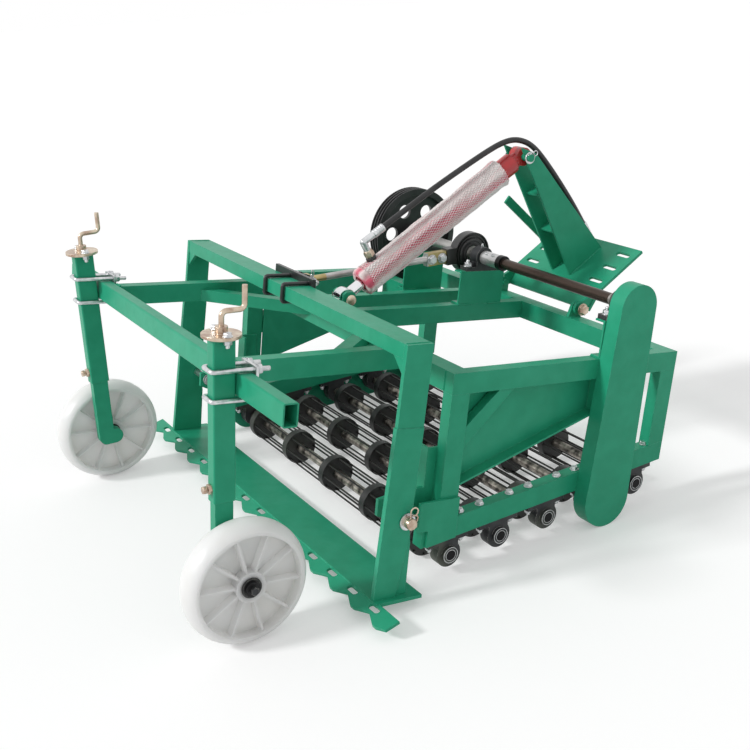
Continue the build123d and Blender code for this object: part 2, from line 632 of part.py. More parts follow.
with BuildPart() as roller_bearings:
    bore = ROLLER_SHAFT + RUNNING_FIT
    for index in range(ROLLER_COUNT):
        x, z = roller_axis(index)
        for y in both(INSIDE + 2, FRAME_HALF - 2):
            pillow_block(x, z, y, BEARING_HEIGHT, BEARING_HEAD, bore, 68, 180 - CONVEYOR_SLOPE)
            if index != CASE_ROLLER or y[0] < 0:
                outer = FRAME_HALF - 2 if y[0] > 0 else 2 - FRAME_HALF
                reach = COLLAR_REACH + 2 if y[0] > 0 else -COLLAR_REACH - 2
                cross_bar(x, z, (outer, outer + reach), COLLAR_RADIUS)
                cross_bar(x, z, (outer, outer + reach), bore, Mode.SUBTRACT)

# Guards
with BuildPart() as chain_case:
    with BuildSketch(Plane.XZ.offset(-FRAME_HALF)):
        for x, z, radius in (CASE_LOW, CASE_HIGH):
            with Locations((x, z)):
                Circle(radius)
        make_hull()
    extrude(amount=-CASE_WIDTH)

with BuildPart() as roller_guard:
    guard_inner = FRAME_HALF + PLATE
    with BuildSketch(Plane.XZ.offset(guard_inner)):
        for index in (0, ROLLER_COUNT - 1):
            with Locations(roller_axis(index)):
                Circle(above_floor(*roller_axis(index)) - FLOOR)
        make_hull()
    extrude(amount=CASE_WIDTH - PLATE)
    for index in range(1, ROLLER_COUNT):
        x = roller_axis(index)[0]
        cross_bar(x, rail_line(x, BEARING_HEIGHT + 14), (-guard_inner - 1, -FRAME_HALF), 11)

# Lifting gear
with BuildPart() as lift_brackets:
    for y in both(24, 34):
        prism([(-204, FRAME_TOP), (-258, FRAME_TOP), (-252, 724), (-242, 732), (-220, 732), (-210, 724)], y)
    cross_bar(*CYLINDER_FOOT, (-42, 42), CYLINDER_PIN)
    for y in both(HINGE_Y - 20, HINGE_Y - 8):
        foot = (FRAME_REAR, FRAME_TOP), (FRAME_REAR + 54, FRAME_TOP)
        crown = [(HINGE_X - 20, HINGE_Z + 14), (HINGE_X, HINGE_Z + 24), (HINGE_X + 20, HINGE_Z + 14)]
        prism([foot[1], foot[0]] + crown, y)
    for y in both(HINGE_Y - 28, HINGE_Y + 18):
        cross_bar(HINGE_X, HINGE_Z, y, HINGE_RADIUS)

FLANGE_FOOT = (-1064, 676)
SLOT = (64, 18)
with BuildPart() as mount_plate:
    corner = on_plate(0)
    skin = [FLANGE_FOOT, corner, on_plate(220), on_plate(220, -PLATE), on_plate(3, -PLATE)]
    prism(skin + [(FLANGE_FOOT[0] - 9, FLANGE_FOOT[1] - 5)], (-PLATE_HALF, PLATE_HALF))
    for y in both(HINGE_Y - 6, HINGE_Y + 6):
        prism([(HINGE_X, HINGE_Z + 22), (-1098, 738), (-1072, 674), (HINGE_X, HINGE_Z - 22)], y)
        cross_bar(HINGE_X, HINGE_Z, y, 22)
        cross_bar(HINGE_X, HINGE_Z, y, HINGE_RADIUS + RUNNING_FIT, Mode.SUBTRACT)
    slope = on_plate(1)
    up = (slope[0] - corner[0], 0, slope[1] - corner[1])
    top_face = Plane((corner[0], 0, corner[1]), x_dir=(0, 1, 0), z_dir=(up[2], 0, -up[0]))
    with BuildSketch(top_face):
        for v in (40, 110, 180):
            with Locations((-165, v), (165, v)):
                SlotOverall(*SLOT)
    extrude(amount=-PLATE - 4, mode=Mode.SUBTRACT)

MAST_TOP = ((-834, 1190), (-896, 1174))
with BuildPart() as mast:
    for y in both(MAST_HALF - MAST_PLATE, MAST_HALF):
        prism([MAST_TOP[0], MAST_TOP[1], on_plate(188), on_plate(26)], y)
    inner = (MAST_PLATE - MAST_HALF, MAST_HALF - MAST_PLATE)
    side_strut((-955, 1030), (-1010, 1060), 8, inner)
    side_strut((-1040, 905), (-1110, 955), 8, inner)
    cross_bar(*MAST_PIN, (-MAST_HALF - 10, MAST_HALF + 10), CYLINDER_PIN)
    side_strut(on_plate(130, 8), (-962, 992), 30, (-156, -148))

# Lift cylinder
with BuildPart() as cylinder_barrel:
    cross_bar(*MAST_PIN, (-22, 22), 30)
    bar(on_cylinder(20), on_cylinder(BARREL_START), 26)
    bar(on_cylinder(BARREL_START), on_cylinder(BARREL_END), BARREL_RADIUS)
    bar(on_cylinder(BARREL_END - 330), on_cylinder(BARREL_END - 16), BARREL_BORE, Mode.SUBTRACT)
    bar(on_cylinder(BARREL_END - 20), on_cylinder(BARREL_END + 1), PISTON_ROD + RUNNING_FIT, Mode.SUBTRACT)
    cross_bar(*MAST_PIN, (-22, 22), CYLINDER_PIN + RUNNING_FIT, Mode.SUBTRACT)

with BuildPart() as cylinder_wrap:
    bar(on_cylinder(WRAP_START), on_cylinder(WRAP_END), WRAP_RADIUS)
    bar(on_cylinder(WRAP_START - 1), on_cylinder(WRAP_END + 1), BARREL_RADIUS + 0.5, Mode.SUBTRACT)
    bar(on_cylinder(ELBOW_ALONG), on_cylinder(ELBOW_ALONG, 100), ELBOW_RADIUS + 4, Mode.SUBTRACT)

EYE_SLACK = 8
with BuildPart() as cylinder_rod:
    bar(on_cylinder(BARREL_END - 310), on_cylinder(CYLINDER_LENGTH - 18), PISTON_ROD)
    cross_bar(*CYLINDER_FOOT, (-20, 20), 30)
    cross_bar(*CYLINDER_FOOT, (-20, 20), CYLINDER_PIN + EYE_SLACK, Mode.SUBTRACT)

# Hydraulic hose, in one length on the cylinder and one on the mast that meet beside the mast's pin
def bend_radii(points):
    """Radius at each inner corner of a route: its arc takes 0.45 of the shorter run beside it."""
    runs = [Vector(*after) - Vector(*before) for before, after in zip(points, points[1:])]
    radii = []
    for before, after in zip(runs, runs[1:]):
        turn = radians(before.get_angle(after))
        radii.append(0.45 * min(before.length, after.length) / tan(turn / 2))
    return radii


def hose_line(points, radii):
    """The centre line of a stretch of hose on the machine's centre plane."""
    with BuildLine() as route:
        FilletPolyline(*[(x, 0, z) for x, z in points], radius=radii)
    return route.wire()


def hose_tube(line):
    """Add a stretch of hose round its centre line."""
    with BuildSketch(Plane(origin=line @ 0, z_dir=line % 0)) as section:
        Circle(HOSE_RADIUS)
    sweep(section.sketch, path=line)


hose_radii = bend_radii(HOSE_ROUTE)
print("hose bend radii, mm:", [round(radius) for radius in hose_radii])
last_low, first_high = Vector(*HOSE_ROUTE[HOSE_SPLIT]), Vector(*HOSE_ROUTE[HOSE_SPLIT + 1])
low_end = last_low + (first_high - last_low) * 0.49
high_start = last_low + (first_high - last_low) * 0.51
lower_line = hose_line(HOSE_ROUTE[:HOSE_SPLIT + 1] + [(low_end.X, low_end.Y)], hose_radii[:HOSE_SPLIT])
upper_line = hose_line([(high_start.X, high_start.Y)] + HOSE_ROUTE[HOSE_SPLIT + 1:], hose_radii[HOSE_SPLIT:])
print("hose length, mm:", round(lower_line.length + upper_line.length))

with BuildPart() as hose_lower:
    hose_tube(lower_line)

with BuildPart() as hose_upper:
    hose_tube(upper_line)

with BuildPart() as hose_elbow:
    hose_start = lower_line @ 0
    corner = hose_start - (lower_line % 0) * ELBOW_LENGTH
    bar(hose_start, corner, ELBOW_RADIUS)
    with Locations(corner):
        Sphere(ELBOW_RADIUS)
    bar(corner, on_cylinder(ELBOW_ALONG, BARREL_RADIUS - 6), ELBOW_RADIUS)
    bar(on_cylinder(ELBOW_ALONG - 60), on_cylinder(ELBOW_ALONG + 60), BARREL_RADIUS, Mode.SUBTRACT)

with BuildPart() as hose_coupler:
    hose_end = upper_line @ 1
    bar(hose_end, hose_end + (upper_line % 1) * COUPLER_LENGTH, ELBOW_RADIUS + 2)

# The machine rests pitched back, with the middle of its floor area at the origin
PIECES = {
    "top_rails": top_rails, "cross_tubes": cross_tubes, "deck_tubes": deck_tubes, "frame_posts": frame_posts,
    "lower_rails": lower_rails, "pivot_plates": pivot_plates, "pivot_pins": pivot_pins,
    "side_plates": side_plates, "braces": braces, "gauge_arms": gauge_arms, "gauge_tube": gauge_tube,
    "gauge_sleeves": gauge_sleeves,
    "gauge_cranks": gauge_cranks, "gauge_clamps": gauge_clamps, "portal_beam": portal_beam,
    "portal_legs": portal_legs, "blade": blade, "rod_anchor": rod_anchor, "connecting_rod": connecting_rod,
    "eccentric_housing": eccentric_housing, "drive_shaft": drive_shaft, "drive_pulley": drive_pulley,
    "bearing_stands": bearing_stands, "shaft_bearings": shaft_bearings, "roller_bearings": roller_bearings,
    "chain_case": chain_case, "roller_guard": roller_guard, "lift_brackets": lift_brackets,
    "mount_plate": mount_plate, "mast": mast, "cylinder_barrel": cylinder_barrel,
    "cylinder_wrap": cylinder_wrap, "cylinder_rod": cylinder_rod, "hose_elbow": hose_elbow,
    "hose_lower": hose_lower, "hose_upper": hose_upper, "hose_coupler": hose_coupler,
}
for side in LEFT_RIGHT:
    PIECES["gauge_leg_" + side] = gauge_legs[side]
    PIECES["gauge_wheel_" + side] = gauge_wheels[side]
    PIECES["wheel_hub_" + side] = wheel_hubs[side]
for number in roller_cages:
    PIECES[f"roller_cage_{number}"] = roller_cages[number]
    PIECES[f"roller_discs_{number}"] = roller_discs[number]

pitched = Location((0, 0, 0), (0, -STANCE_PITCH, 0))
boxes = [piece.part.moved(pitched).bounding_box() for piece in PIECES.values()]
middle_x = (min(box.min.X for box in boxes) + max(box.max.X for box in boxes)) / 2
middle_y = (min(box.min.Y for box in boxes) + max(box.max.Y for box in boxes)) / 2
STANCE = Location((-middle_x, -middle_y, -FLOOR)) * pitched

os.makedirs("parts", exist_ok=True)
for name, piece in PIECES.items():
    placed = piece.part.moved(STANCE)
    placed.label = name
    export_step(placed, f"parts/{name}.step")
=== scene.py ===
"""Garlic harvester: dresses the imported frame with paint, a hose, a foam net, fasteners and weld beads."""

import json
from math import atan2, cos, hypot, pi, radians, sin

import bmesh
import bpy
from mathutils import Matrix, Vector, noise


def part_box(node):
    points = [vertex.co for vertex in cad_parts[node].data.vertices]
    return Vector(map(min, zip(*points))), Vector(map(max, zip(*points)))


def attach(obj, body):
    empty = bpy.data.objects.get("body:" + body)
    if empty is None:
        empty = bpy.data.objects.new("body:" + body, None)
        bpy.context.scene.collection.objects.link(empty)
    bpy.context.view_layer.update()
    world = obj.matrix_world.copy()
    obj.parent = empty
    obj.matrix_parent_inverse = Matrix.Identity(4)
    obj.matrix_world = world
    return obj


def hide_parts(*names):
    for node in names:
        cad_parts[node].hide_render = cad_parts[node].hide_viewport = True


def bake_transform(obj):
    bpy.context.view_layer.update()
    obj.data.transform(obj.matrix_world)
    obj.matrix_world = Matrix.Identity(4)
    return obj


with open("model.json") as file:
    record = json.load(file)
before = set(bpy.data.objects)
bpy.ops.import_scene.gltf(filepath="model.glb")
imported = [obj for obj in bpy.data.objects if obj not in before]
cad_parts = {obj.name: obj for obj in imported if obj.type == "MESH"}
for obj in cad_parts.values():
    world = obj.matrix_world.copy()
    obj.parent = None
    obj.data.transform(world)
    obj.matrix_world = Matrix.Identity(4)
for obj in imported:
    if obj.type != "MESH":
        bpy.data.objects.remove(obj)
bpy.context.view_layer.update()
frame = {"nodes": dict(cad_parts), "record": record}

NODES = frame["nodes"]

# Camera at the photograph's angle, in metres and in the row frame
CAMERA_PLACE = Vector((1.711478, 2.821, 1.651449))
CAMERA_RIGHT = Vector((-0.847185, 0.529693, -0.041265))
CAMERA_UP = Vector((-0.224949, -0.287397, 0.931021))
LENS_MM = 51.98
SENSOR_MM = 36.0

# From the level machine in millimetres, as the part is drawn, to the row frame in metres
PITCH = radians(8.6)
SHIFT_X, SHIFT_Z = 0.444947, -0.010427
PLACE = Matrix((
    (cos(PITCH) / 1000, 0, -sin(PITCH) / 1000, SHIFT_X),
    (0, 0.001, 0, 0),
    (sin(PITCH) / 1000, 0, cos(PITCH) / 1000, SHIFT_Z),
    (0, 0, 0, 1)))

# Places on the level machine that pieces here are set against, as in the part's source
BEAM_BACK, BEAM_LOW, BEAM_TOP = -80, 720, 760
PORTAL_HALF = 700
PIN_X, PIN_Z = -50, 276
FRAME_FRONT, FRAME_REAR, FRAME_TOP = -200, -1050, 651
RAIL_INSIDE, RAIL_OUTSIDE, RAIL_MIDDLE = 600, 640, 620
GAUGE_FRONT, GAUGE_BACK, GAUGE_LOW, GAUGE_HIGH = 384, 344, 613, 673
ARM_Y, ARM_HALF = 428, 20
SLEEVE_Y, SLEEVE_DEPTH = 515, 60
SLEEVE_TOP, SLEEVE_BOTTOM = 765, 333
SLEEVE_LEAN = {"left": radians(3), "right": radians(8)}
HAND = {"left": 1, "right": -1}
ROLLER_FIRST, ROLLER_PITCH, ROLLER_COUNT = (-252, 115), 178, 5
CASE_ROLLER = 3
BED_SLOPE = radians(9.3)
SHAFT_X, SHAFT_Z = -800, 812
DECK_BEARINGS = ((-55, 92, 651), (-400, 85, 624), (620, 76, 651))
ROD_Y, HOUSING_HALF = -124, 18
CLEVIS_X, CLEVIS_Z = -165, 738
HINGE_X, HINGE_Z, HINGE_END = -1030, 682, 228
MAST_PIN = (-870, 1159)
CYLINDER_FOOT = (-231, 708)
PLATE_FRONT, PLATE_REAR = (-1100, 742), (-1276, 874)
BARREL_END = 706
WRAP_START, WRAP_END, WRAP_RADIUS = 92, 702, 50
ELBOW_ALONG = 640
HOSE_ROUTE = [
    (-320, 904), (-424, 976), (-540, 1054), (-651, 1123), (-737, 1174), (-789, 1200), (-834, 1212),
    (-881, 1208), (-924, 1190), (-975, 1151), (-1062, 1071), (-1152, 980), (-1220, 901)]
HOSE_LENGTH, HOSE_DIAMETER = 1.108, 0.019


def unit_run(start, end):
    length = hypot(end[0] - start[0], end[1] - start[1])
    return (end[0] - start[0]) / length, (end[1] - start[1]) / length


CYLINDER_RUN = unit_run(MAST_PIN, CYLINDER_FOOT)
PLATE_RUN = unit_run(PLATE_FRONT, PLATE_REAR)
ROD_RUN = unit_run((CLEVIS_X, CLEVIS_Z), (SHAFT_X, SHAFT_Z))
ROD_LENGTH = hypot(SHAFT_X - CLEVIS_X, SHAFT_Z - CLEVIS_Z)


def on_cylinder(along, out=0.0, y=0.0):
    """Point along the cylinder from the mast pin, and out above its axis in side view."""
    x = MAST_PIN[0] + along * CYLINDER_RUN[0] - out * CYLINDER_RUN[1]
    z = MAST_PIN[1] + along * CYLINDER_RUN[1] + out * CYLINDER_RUN[0]
    return Vector((x, y, z))


def on_post(side, out, across, up):
    """Point of a gauge post's own frame, whose origin is on the gauge tube's lower front edge."""
    lean = SLEEVE_LEAN[side]
    x = GAUGE_FRONT + out * cos(lean) + up * sin(lean)
    z = GAUGE_LOW - out * sin(lean) + up * cos(lean)
    return Vector((x, SLEEVE_Y * HAND[side] + across, z))


def add_camera():
    right = CAMERA_RIGHT.normalized()
    back = right.cross(CAMERA_UP).normalized()
    up = back.cross(right)
    data = bpy.data.cameras.new("photo_camera")
    data.lens = LENS_MM
    data.sensor_width = SENSOR_MM
    data.sensor_fit = "HORIZONTAL"
    camera = bpy.data.objects.new("photo_camera", data)
    axes = Matrix((right, up, back)).transposed().to_4x4()
    camera.matrix_world = Matrix.Translation(CAMERA_PLACE) @ axes
    bpy.context.scene.collection.objects.link(camera)
    bpy.context.scene.camera = camera


# Shader helpers, in metres
EDGE_RADIUS, BAND_EDGE_RADIUS = 0.0025, 0.002
EDGE_FACING = (0.80, 0.995)
GRAIN_DEPTH, FOAM_DEPTH = 0.001, 0.0012


def new_material(name):
    material = bpy.data.materials.new(name)
    material.use_nodes = True
    tree = material.node_tree
    shader = tree.nodes["Principled BSDF"]
    return material, tree, shader


def object_place(tree, stretch=(1.0, 1.0, 1.0)):
    """Object coordinates, scaled apart along the axes."""
    place = tree.nodes.new("ShaderNodeTexCoord")
    mapping = tree.nodes.new("ShaderNodeMapping")
    mapping.inputs["Scale"].default_value = stretch
    tree.links.new(place.outputs["Object"], mapping.inputs["Vector"])
    return mapping.outputs["Vector"]


def object_noise(tree, scale, detail=4.0, stretch=(1.0, 1.0, 1.0), distortion=0.0):
    node = tree.nodes.new("ShaderNodeTexNoise")
    node.inputs["Scale"].default_value = scale
    node.inputs["Detail"].default_value = detail
    node.inputs["Distortion"].default_value = distortion
    tree.links.new(object_place(tree, stretch), node.inputs["Vector"])
    return node.outputs["Fac"]


def ramp(tree, value, stops, steps=False):
    """A colour ramp over a value, from (position, colour) stops."""
    node = tree.nodes.new("ShaderNodeValToRGB")
    tree.links.new(value, node.inputs["Fac"])
    if steps:
        node.color_ramp.interpolation = "CONSTANT"
    points = node.color_ramp.elements
    while len(points) < len(stops):
        points.new(0.5)
    for point, (position, colour) in zip(points, stops):
        point.position = position
        point.color = (*colour, 1.0)
    return node.outputs["Color"]


def level(tree, value, low, high, start=0.0, end=1.0):
    """A value from start to end mapped onto low to high."""
    node = tree.nodes.new("ShaderNodeMapRange")
    tree.links.new(value, node.inputs["Value"])
    node.inputs["From Min"].default_value = start
    node.inputs["From Max"].default_value = end
    node.inputs["To Min"].default_value = low
    node.inputs["To Max"].default_value = high
    return node.outputs["Result"]


def mix_colour(tree, share, first, second):
    node = tree.nodes.new("ShaderNodeMix")
    node.data_type = "RGBA"
    tree.links.new(share, node.inputs["Factor"])
    for socket, value in ((node.inputs["A"], first), (node.inputs["B"], second)):
        if isinstance(value, tuple):
            socket.default_value = (*value, 1.0)
        else:
            tree.links.new(value, socket)
    return node.outputs["Result"]


def rounded_normal(tree, radius):
    """The normal with sharp edges rounded, and a mask that is 1 on those edges."""
    bevel = tree.nodes.new("ShaderNodeBevel")
    bevel.samples = 4
    bevel.inputs["Radius"].default_value = radius
    geometry = tree.nodes.new("ShaderNodeNewGeometry")
    facing = tree.nodes.new("ShaderNodeVectorMath")
    facing.operation = "DOT_PRODUCT"
    tree.links.new(bevel.outputs["Normal"], facing.inputs[0])
    tree.links.new(geometry.outputs["Normal"], facing.inputs[1])
    return bevel.outputs["Normal"], level(tree, facing.outputs["Value"], 1.0, 0.0, *EDGE_FACING)


def bump(tree, shader, value, strength, distance, normal=None):
    node = tree.nodes.new("ShaderNodeBump")
    node.inputs["Strength"].default_value = strength
    node.inputs["Distance"].default_value = distance
    tree.links.new(value, node.inputs["Height"])
    if normal is not None:
        tree.links.new(normal, node.inputs["Normal"])
    tree.links.new(node.outputs["Normal"], shader.inputs["Normal"])


def object_axis(tree, axis):
    """One of the object coordinates."""
    place = tree.nodes.new("ShaderNodeTexCoord")
    parts = tree.nodes.new("ShaderNodeSeparateXYZ")
    tree.links.new(place.outputs["Object"], parts.inputs["Vector"])
    return parts.outputs[axis]


def over(tree, value, limit):
    """1 where the value is more than limit, and 0 elsewhere."""
    node = tree.nodes.new("ShaderNodeMath")
    node.operation = "GREATER_THAN"
    node.inputs[1].default_value = limit
    tree.links.new(value, node.inputs[0])
    return node.outputs["Value"]


def beyond(tree, limit):
    """1 further than limit from the machine's centre plane, and 0 nearer to it."""
    size = tree.nodes.new("ShaderNodeMath")
    size.operation = "ABSOLUTE"
    tree.links.new(object_axis(tree, "Y"), size.inputs[0])
    return over(tree, size.outputs["Value"], limit)


def round_axis(tree, axis, radius):
    """1 further than radius from a cross axis through the point axis, and 0 nearer to it."""
    gap = tree.nodes.new("ShaderNodeVectorMath")
    gap.operation = "DISTANCE"
    tree.links.new(object_place(tree, (1.0, 0.0, 1.0)), gap.inputs[0])
    gap.inputs[1].default_value = (axis.x, 0.0, axis.z)
    return over(tree, gap.outputs["Value"], radius)


# What finishes share: how colours drift, how sharp edges take a lighter colour that is partly wear and partly
# a painted highlight, soil, the coat and the tint of a glow
DRIFT_START, DRIFT_END = 0.35, 0.65
ROUGH_SCALE = 3.1
EDGE_WEAR_HIGHLIGHT_SCALE, EDGE_WEAR_HIGHLIGHT_START, EDGE_WEAR_HIGHLIGHT_END = 70.0, 0.4, 0.62
SOIL_SCALE, SOIL_DETAIL, SOIL_DISTORTION, SOIL_FADE = 5.0, 7.0, 0.6, 0.18
COAT_ROUGHNESS = 0.12
GLOW_TINT = (1.0, 0.98, 0.95)


def surface(name, dark, light, rough, metallic=0.0, scale=18.0, coat=0.0, gloss=0.5, grain=(180.0, 0.08),
            edge=None, soil=None, ends=None, rods=None, glow=None):
    """A finish that drifts between two colours, with edges lightened partly as wear and partly as a painted
    highlight, blotches of soil and a fine grain.

    ends is (limit, colour) for what lies further out than limit.
    rods is (axis, radius, colour) for what lies further than radius from a cross axis.
    glow is (weight, depth) for light that scatters inside a translucent piece.
    """
    material, tree, shader = new_material(name)
    colour = ramp(tree, object_noise(tree, scale), [(DRIFT_START, dark), (DRIFT_END, light)])
    rough_value = level(tree, object_noise(tree, scale * ROUGH_SCALE), *rough)
    normal, worn_and_highlit_edges = rounded_normal(tree, EDGE_RADIUS)
    # The edge colour is partly edge wear and partly a painted highlight: a lighter colour laid on sharp edges
    # where they would catch the light, broken up by noise.
    if edge:
        wear_and_highlight_breakup = level(tree, object_noise(tree, EDGE_WEAR_HIGHLIGHT_SCALE), 0.0, 1.0, EDGE_WEAR_HIGHLIGHT_START, EDGE_WEAR_HIGHLIGHT_END)
        ragged = tree.nodes.new("ShaderNodeMath")
        ragged.operation = "MULTIPLY"
        tree.links.new(worn_and_highlit_edges, ragged.inputs[0])
        tree.links.new(wear_and_highlight_breakup, ragged.inputs[1])
        colour = mix_colour(tree, ragged.outputs["Value"], colour, edge)
    if soil:
        soil_colour, start, most = soil
        blotches = object_noise(tree, SOIL_SCALE, SOIL_DETAIL, distortion=SOIL_DISTORTION)
        soiled = level(tree, blotches, 0.0, most, start, start + SOIL_FADE)
        colour = mix_colour(tree, soiled, colour, soil_colour)
    if rods:
        axis, radius, rod_colour = rods
        colour = mix_colour(tree, round_axis(tree, axis, radius), colour, rod_colour)
    if ends:
        limit, end_colour = ends
        colour = mix_colour(tree, beyond(tree, limit), colour, end_colour)
    if glow:
        weight, depth = glow
        shader.inputs["Subsurface Weight"].default_value = weight
        shader.inputs["Subsurface Radius"].default_value = GLOW_TINT
        shader.inputs["Subsurface Scale"].default_value = depth
    tree.links.new(colour, shader.inputs["Base Color"])
    tree.links.new(rough_value, shader.inputs["Roughness"])
    shader.inputs["Metallic"].default_value = metallic
    shader.inputs["Specular IOR Level"].default_value = gloss
    shader.inputs["Coat Weight"].default_value = coat
    shader.inputs["Coat Roughness"].default_value = COAT_ROUGHNESS
    grain_scale, strength = grain
    bump(tree, shader, object_noise(tree, grain_scale), strength, GRAIN_DEPTH, normal)
    return material


DUST = (0.30, 0.33, 0.24)
ALONG_Y = (1.0, 0.06, 1.0)
DARK_END = (0.016, 0.016, 0.017)
WHEEL_GLOW = (1.0, 0.06)
# Each finish's edge colour is partly edge wear and partly a painted highlight on its sharp edges; on the
# green paint it is a paler green.
GREEN = {
    "dark": (0.018, 0.312, 0.174), "light": (0.023, 0.345, 0.196), "rough": (0.32, 0.46), "gloss": 0.22,
    "grain": (140.0, 0.05), "edge": (0.11, 0.56, 0.36), "soil": ((0.06, 0.45, 0.28), 0.50, 0.22)}
FINISH = {
    "green_paint": surface("green_paint", **GREEN),
    "black_paint": surface(
        "black_paint", (0.012, 0.012, 0.013), (0.028, 0.028, 0.029), (0.30, 0.48), coat=0.15,
        edge=(0.10, 0.10, 0.10), soil=(DUST, 0.55, 0.10)),
    "red_paint": surface(
        "red_paint", (0.44, 0.014, 0.018), (0.54, 0.022, 0.026), (0.22, 0.38), coat=0.35,
        edge=(0.60, 0.10, 0.09)),
    "grey_cast": surface(
        "grey_cast", (0.020, 0.022, 0.025), (0.050, 0.052, 0.055), (0.40, 0.62), metallic=0.35,
        grain=(240.0, 0.30), edge=(0.42, 0.41, 0.38), soil=(DUST, 0.52, 0.22)),
    "zinc": surface(
        "zinc", (0.52, 0.53, 0.55), (0.72, 0.73, 0.74), (0.22, 0.42), metallic=0.95, scale=60.0,
        edge=(0.85, 0.85, 0.85)),
    "yellow_zinc": surface(
        "yellow_zinc", (0.42, 0.29, 0.22), (0.70, 0.60, 0.47), (0.24, 0.42), metallic=0.9, scale=34.0,
        edge=(0.86, 0.78, 0.66)),
    "bright_steel": surface(
        "bright_steel", (0.10, 0.10, 0.10), (0.62, 0.61, 0.58), (0.20, 0.48), metallic=0.9, scale=26.0,
        edge=(0.80, 0.78, 0.74)),
    "chrome_rod": surface(
        "chrome_rod", (0.72, 0.73, 0.74), (0.82, 0.83, 0.84), (0.06, 0.14), metallic=1.0, grain=(90.0, 0.02)),
    "white_plastic": surface(
        "white_plastic", (0.805, 0.800, 0.785), (0.835, 0.835, 0.830), (0.30, 0.46), scale=7.0,
        grain=(60.0, 0.10), edge=(0.83, 0.83, 0.82), soil=((0.74, 0.71, 0.66), 0.50, 0.22), glow=WHEEL_GLOW),
    "black_plastic": surface(
        "black_plastic", (0.010, 0.010, 0.010), (0.024, 0.024, 0.024), (0.34, 0.56),
        edge=(0.06, 0.06, 0.06), soil=(DUST, 0.55, 0.10)),
}


# Bands, hose rubber and foam
BLOTCH_SCALE, BLOTCH_RANGE = 30.0, (0.55, 1.25)
BAND_ROUGH_SCALE, BAND_GRAIN_SCALE, BAND_GRAIN = 80.0, 200.0, 0.08
HOSE_BLACKS = [(0.3, (0.010, 0.010, 0.011)), (0.7, (0.026, 0.026, 0.027))]
HOSE_SCALE, HOSE_ROUGH_SCALE, HOSE_ROUGH = 35.0, 120.0, (0.34, 0.52)
CLOTH_SCALE, CLOTH_DISTORTION, CLOTH_STRENGTH, CLOTH_STRETCH = 220.0, 0.6, 0.10, (1.0, 1.0, 0.8)
STREAK_SCALE, STREAK_DETAIL = 30.0, 5.0
FOAM_ROUGH_SCALE, FOAM_ROUGH, FOAM_SHEEN = 90.0, (0.55, 0.8), 0.25
PORE_SCALE, PORE_DETAIL, PORE_STRENGTH = 420.0, 3.0, 0.5


def banded(name, axis, bands, rough, metallic, source):
    """A finish whose colour changes in bands along an axis, from (start, colour) pairs in metres."""
    material, tree, shader = new_material(name)
    low, high = source
    share = level(tree, object_axis(tree, axis), 0.0, 1.0, low, high)
    stops = [((start - low) / (high - low), colour) for start, colour in bands]
    colour = ramp(tree, share, stops, steps=True)
    blotch = level(tree, object_noise(tree, BLOTCH_SCALE, stretch=ALONG_Y), *BLOTCH_RANGE)
    tint = tree.nodes.new("ShaderNodeVectorMath")
    tint.operation = "SCALE"
    tree.links.new(colour, tint.inputs[0])
    tree.links.new(blotch, tint.inputs["Scale"])
    tree.links.new(tint.outputs["Vector"], shader.inputs["Base Color"])
    tree.links.new(level(tree, object_noise(tree, BAND_ROUGH_SCALE), *rough), shader.inputs["Roughness"])
    shader.inputs["Metallic"].default_value = metallic
    normal = rounded_normal(tree, BAND_EDGE_RADIUS)[0]
    bump(tree, shader, object_noise(tree, BAND_GRAIN_SCALE), BAND_GRAIN, GRAIN_DEPTH, normal)
    return material


def rubber_finish():
    """Black hose cover with the fine cross wrap of its curing cloth."""
    material, tree, shader = new_material("hose_cover")
    tree.links.new(ramp(tree, object_noise(tree, HOSE_SCALE), HOSE_BLACKS), shader.inputs["Base Color"])
    rough = level(tree, object_noise(tree, HOSE_ROUGH_SCALE), *HOSE_ROUGH)
    tree.links.new(rough, shader.inputs["Roughness"])
    wave = tree.nodes.new("ShaderNodeTexWave")
    wave.inputs["Scale"].default_value = CLOTH_SCALE
    wave.inputs["Distortion"].default_value = CLOTH_DISTORTION
    tree.links.new(object_place(tree, CLOTH_STRETCH), wave.inputs["Vector"])
    bump(tree, shader, wave.outputs["Fac"], CLOTH_STRENGTH, GRAIN_DEPTH)
    return material


def foam_finish(name, stops, along):
    """Foam with soft streaks along the cylinder, where the red barrel shows through here and there."""
    material, tree, shader = new_material(name)
    place = tree.nodes.new("ShaderNodeTexCoord")
    turn = tree.nodes.new("ShaderNodeMapping")
    turn.inputs["Rotation"].default_value = (0.0, atan2(CYLINDER_RUN[1], CYLINDER_RUN[0]) + PITCH, 0.0)
    tree.links.new(place.outputs["Object"], turn.inputs["Vector"])
    pull = tree.nodes.new("ShaderNodeMapping")
    pull.inputs["Scale"].default_value = (along, 1.0, 1.0)
    tree.links.new(turn.outputs["Vector"], pull.inputs["Vector"])
    streaks = tree.nodes.new("ShaderNodeTexNoise")
    streaks.inputs["Scale"].default_value = STREAK_SCALE
    streaks.inputs["Detail"].default_value = STREAK_DETAIL
    tree.links.new(pull.outputs["Vector"], streaks.inputs["Vector"])
    tree.links.new(ramp(tree, streaks.outputs["Fac"], stops), shader.inputs["Base Color"])
    rough = level(tree, object_noise(tree, FOAM_ROUGH_SCALE), *FOAM_ROUGH)
    tree.links.new(rough, shader.inputs["Roughness"])
    shader.inputs["Sheen Weight"].default_value = FOAM_SHEEN
    bump(tree, shader, object_noise(tree, PORE_SCALE, PORE_DETAIL), PORE_STRENGTH, FOAM_DEPTH)
    return material


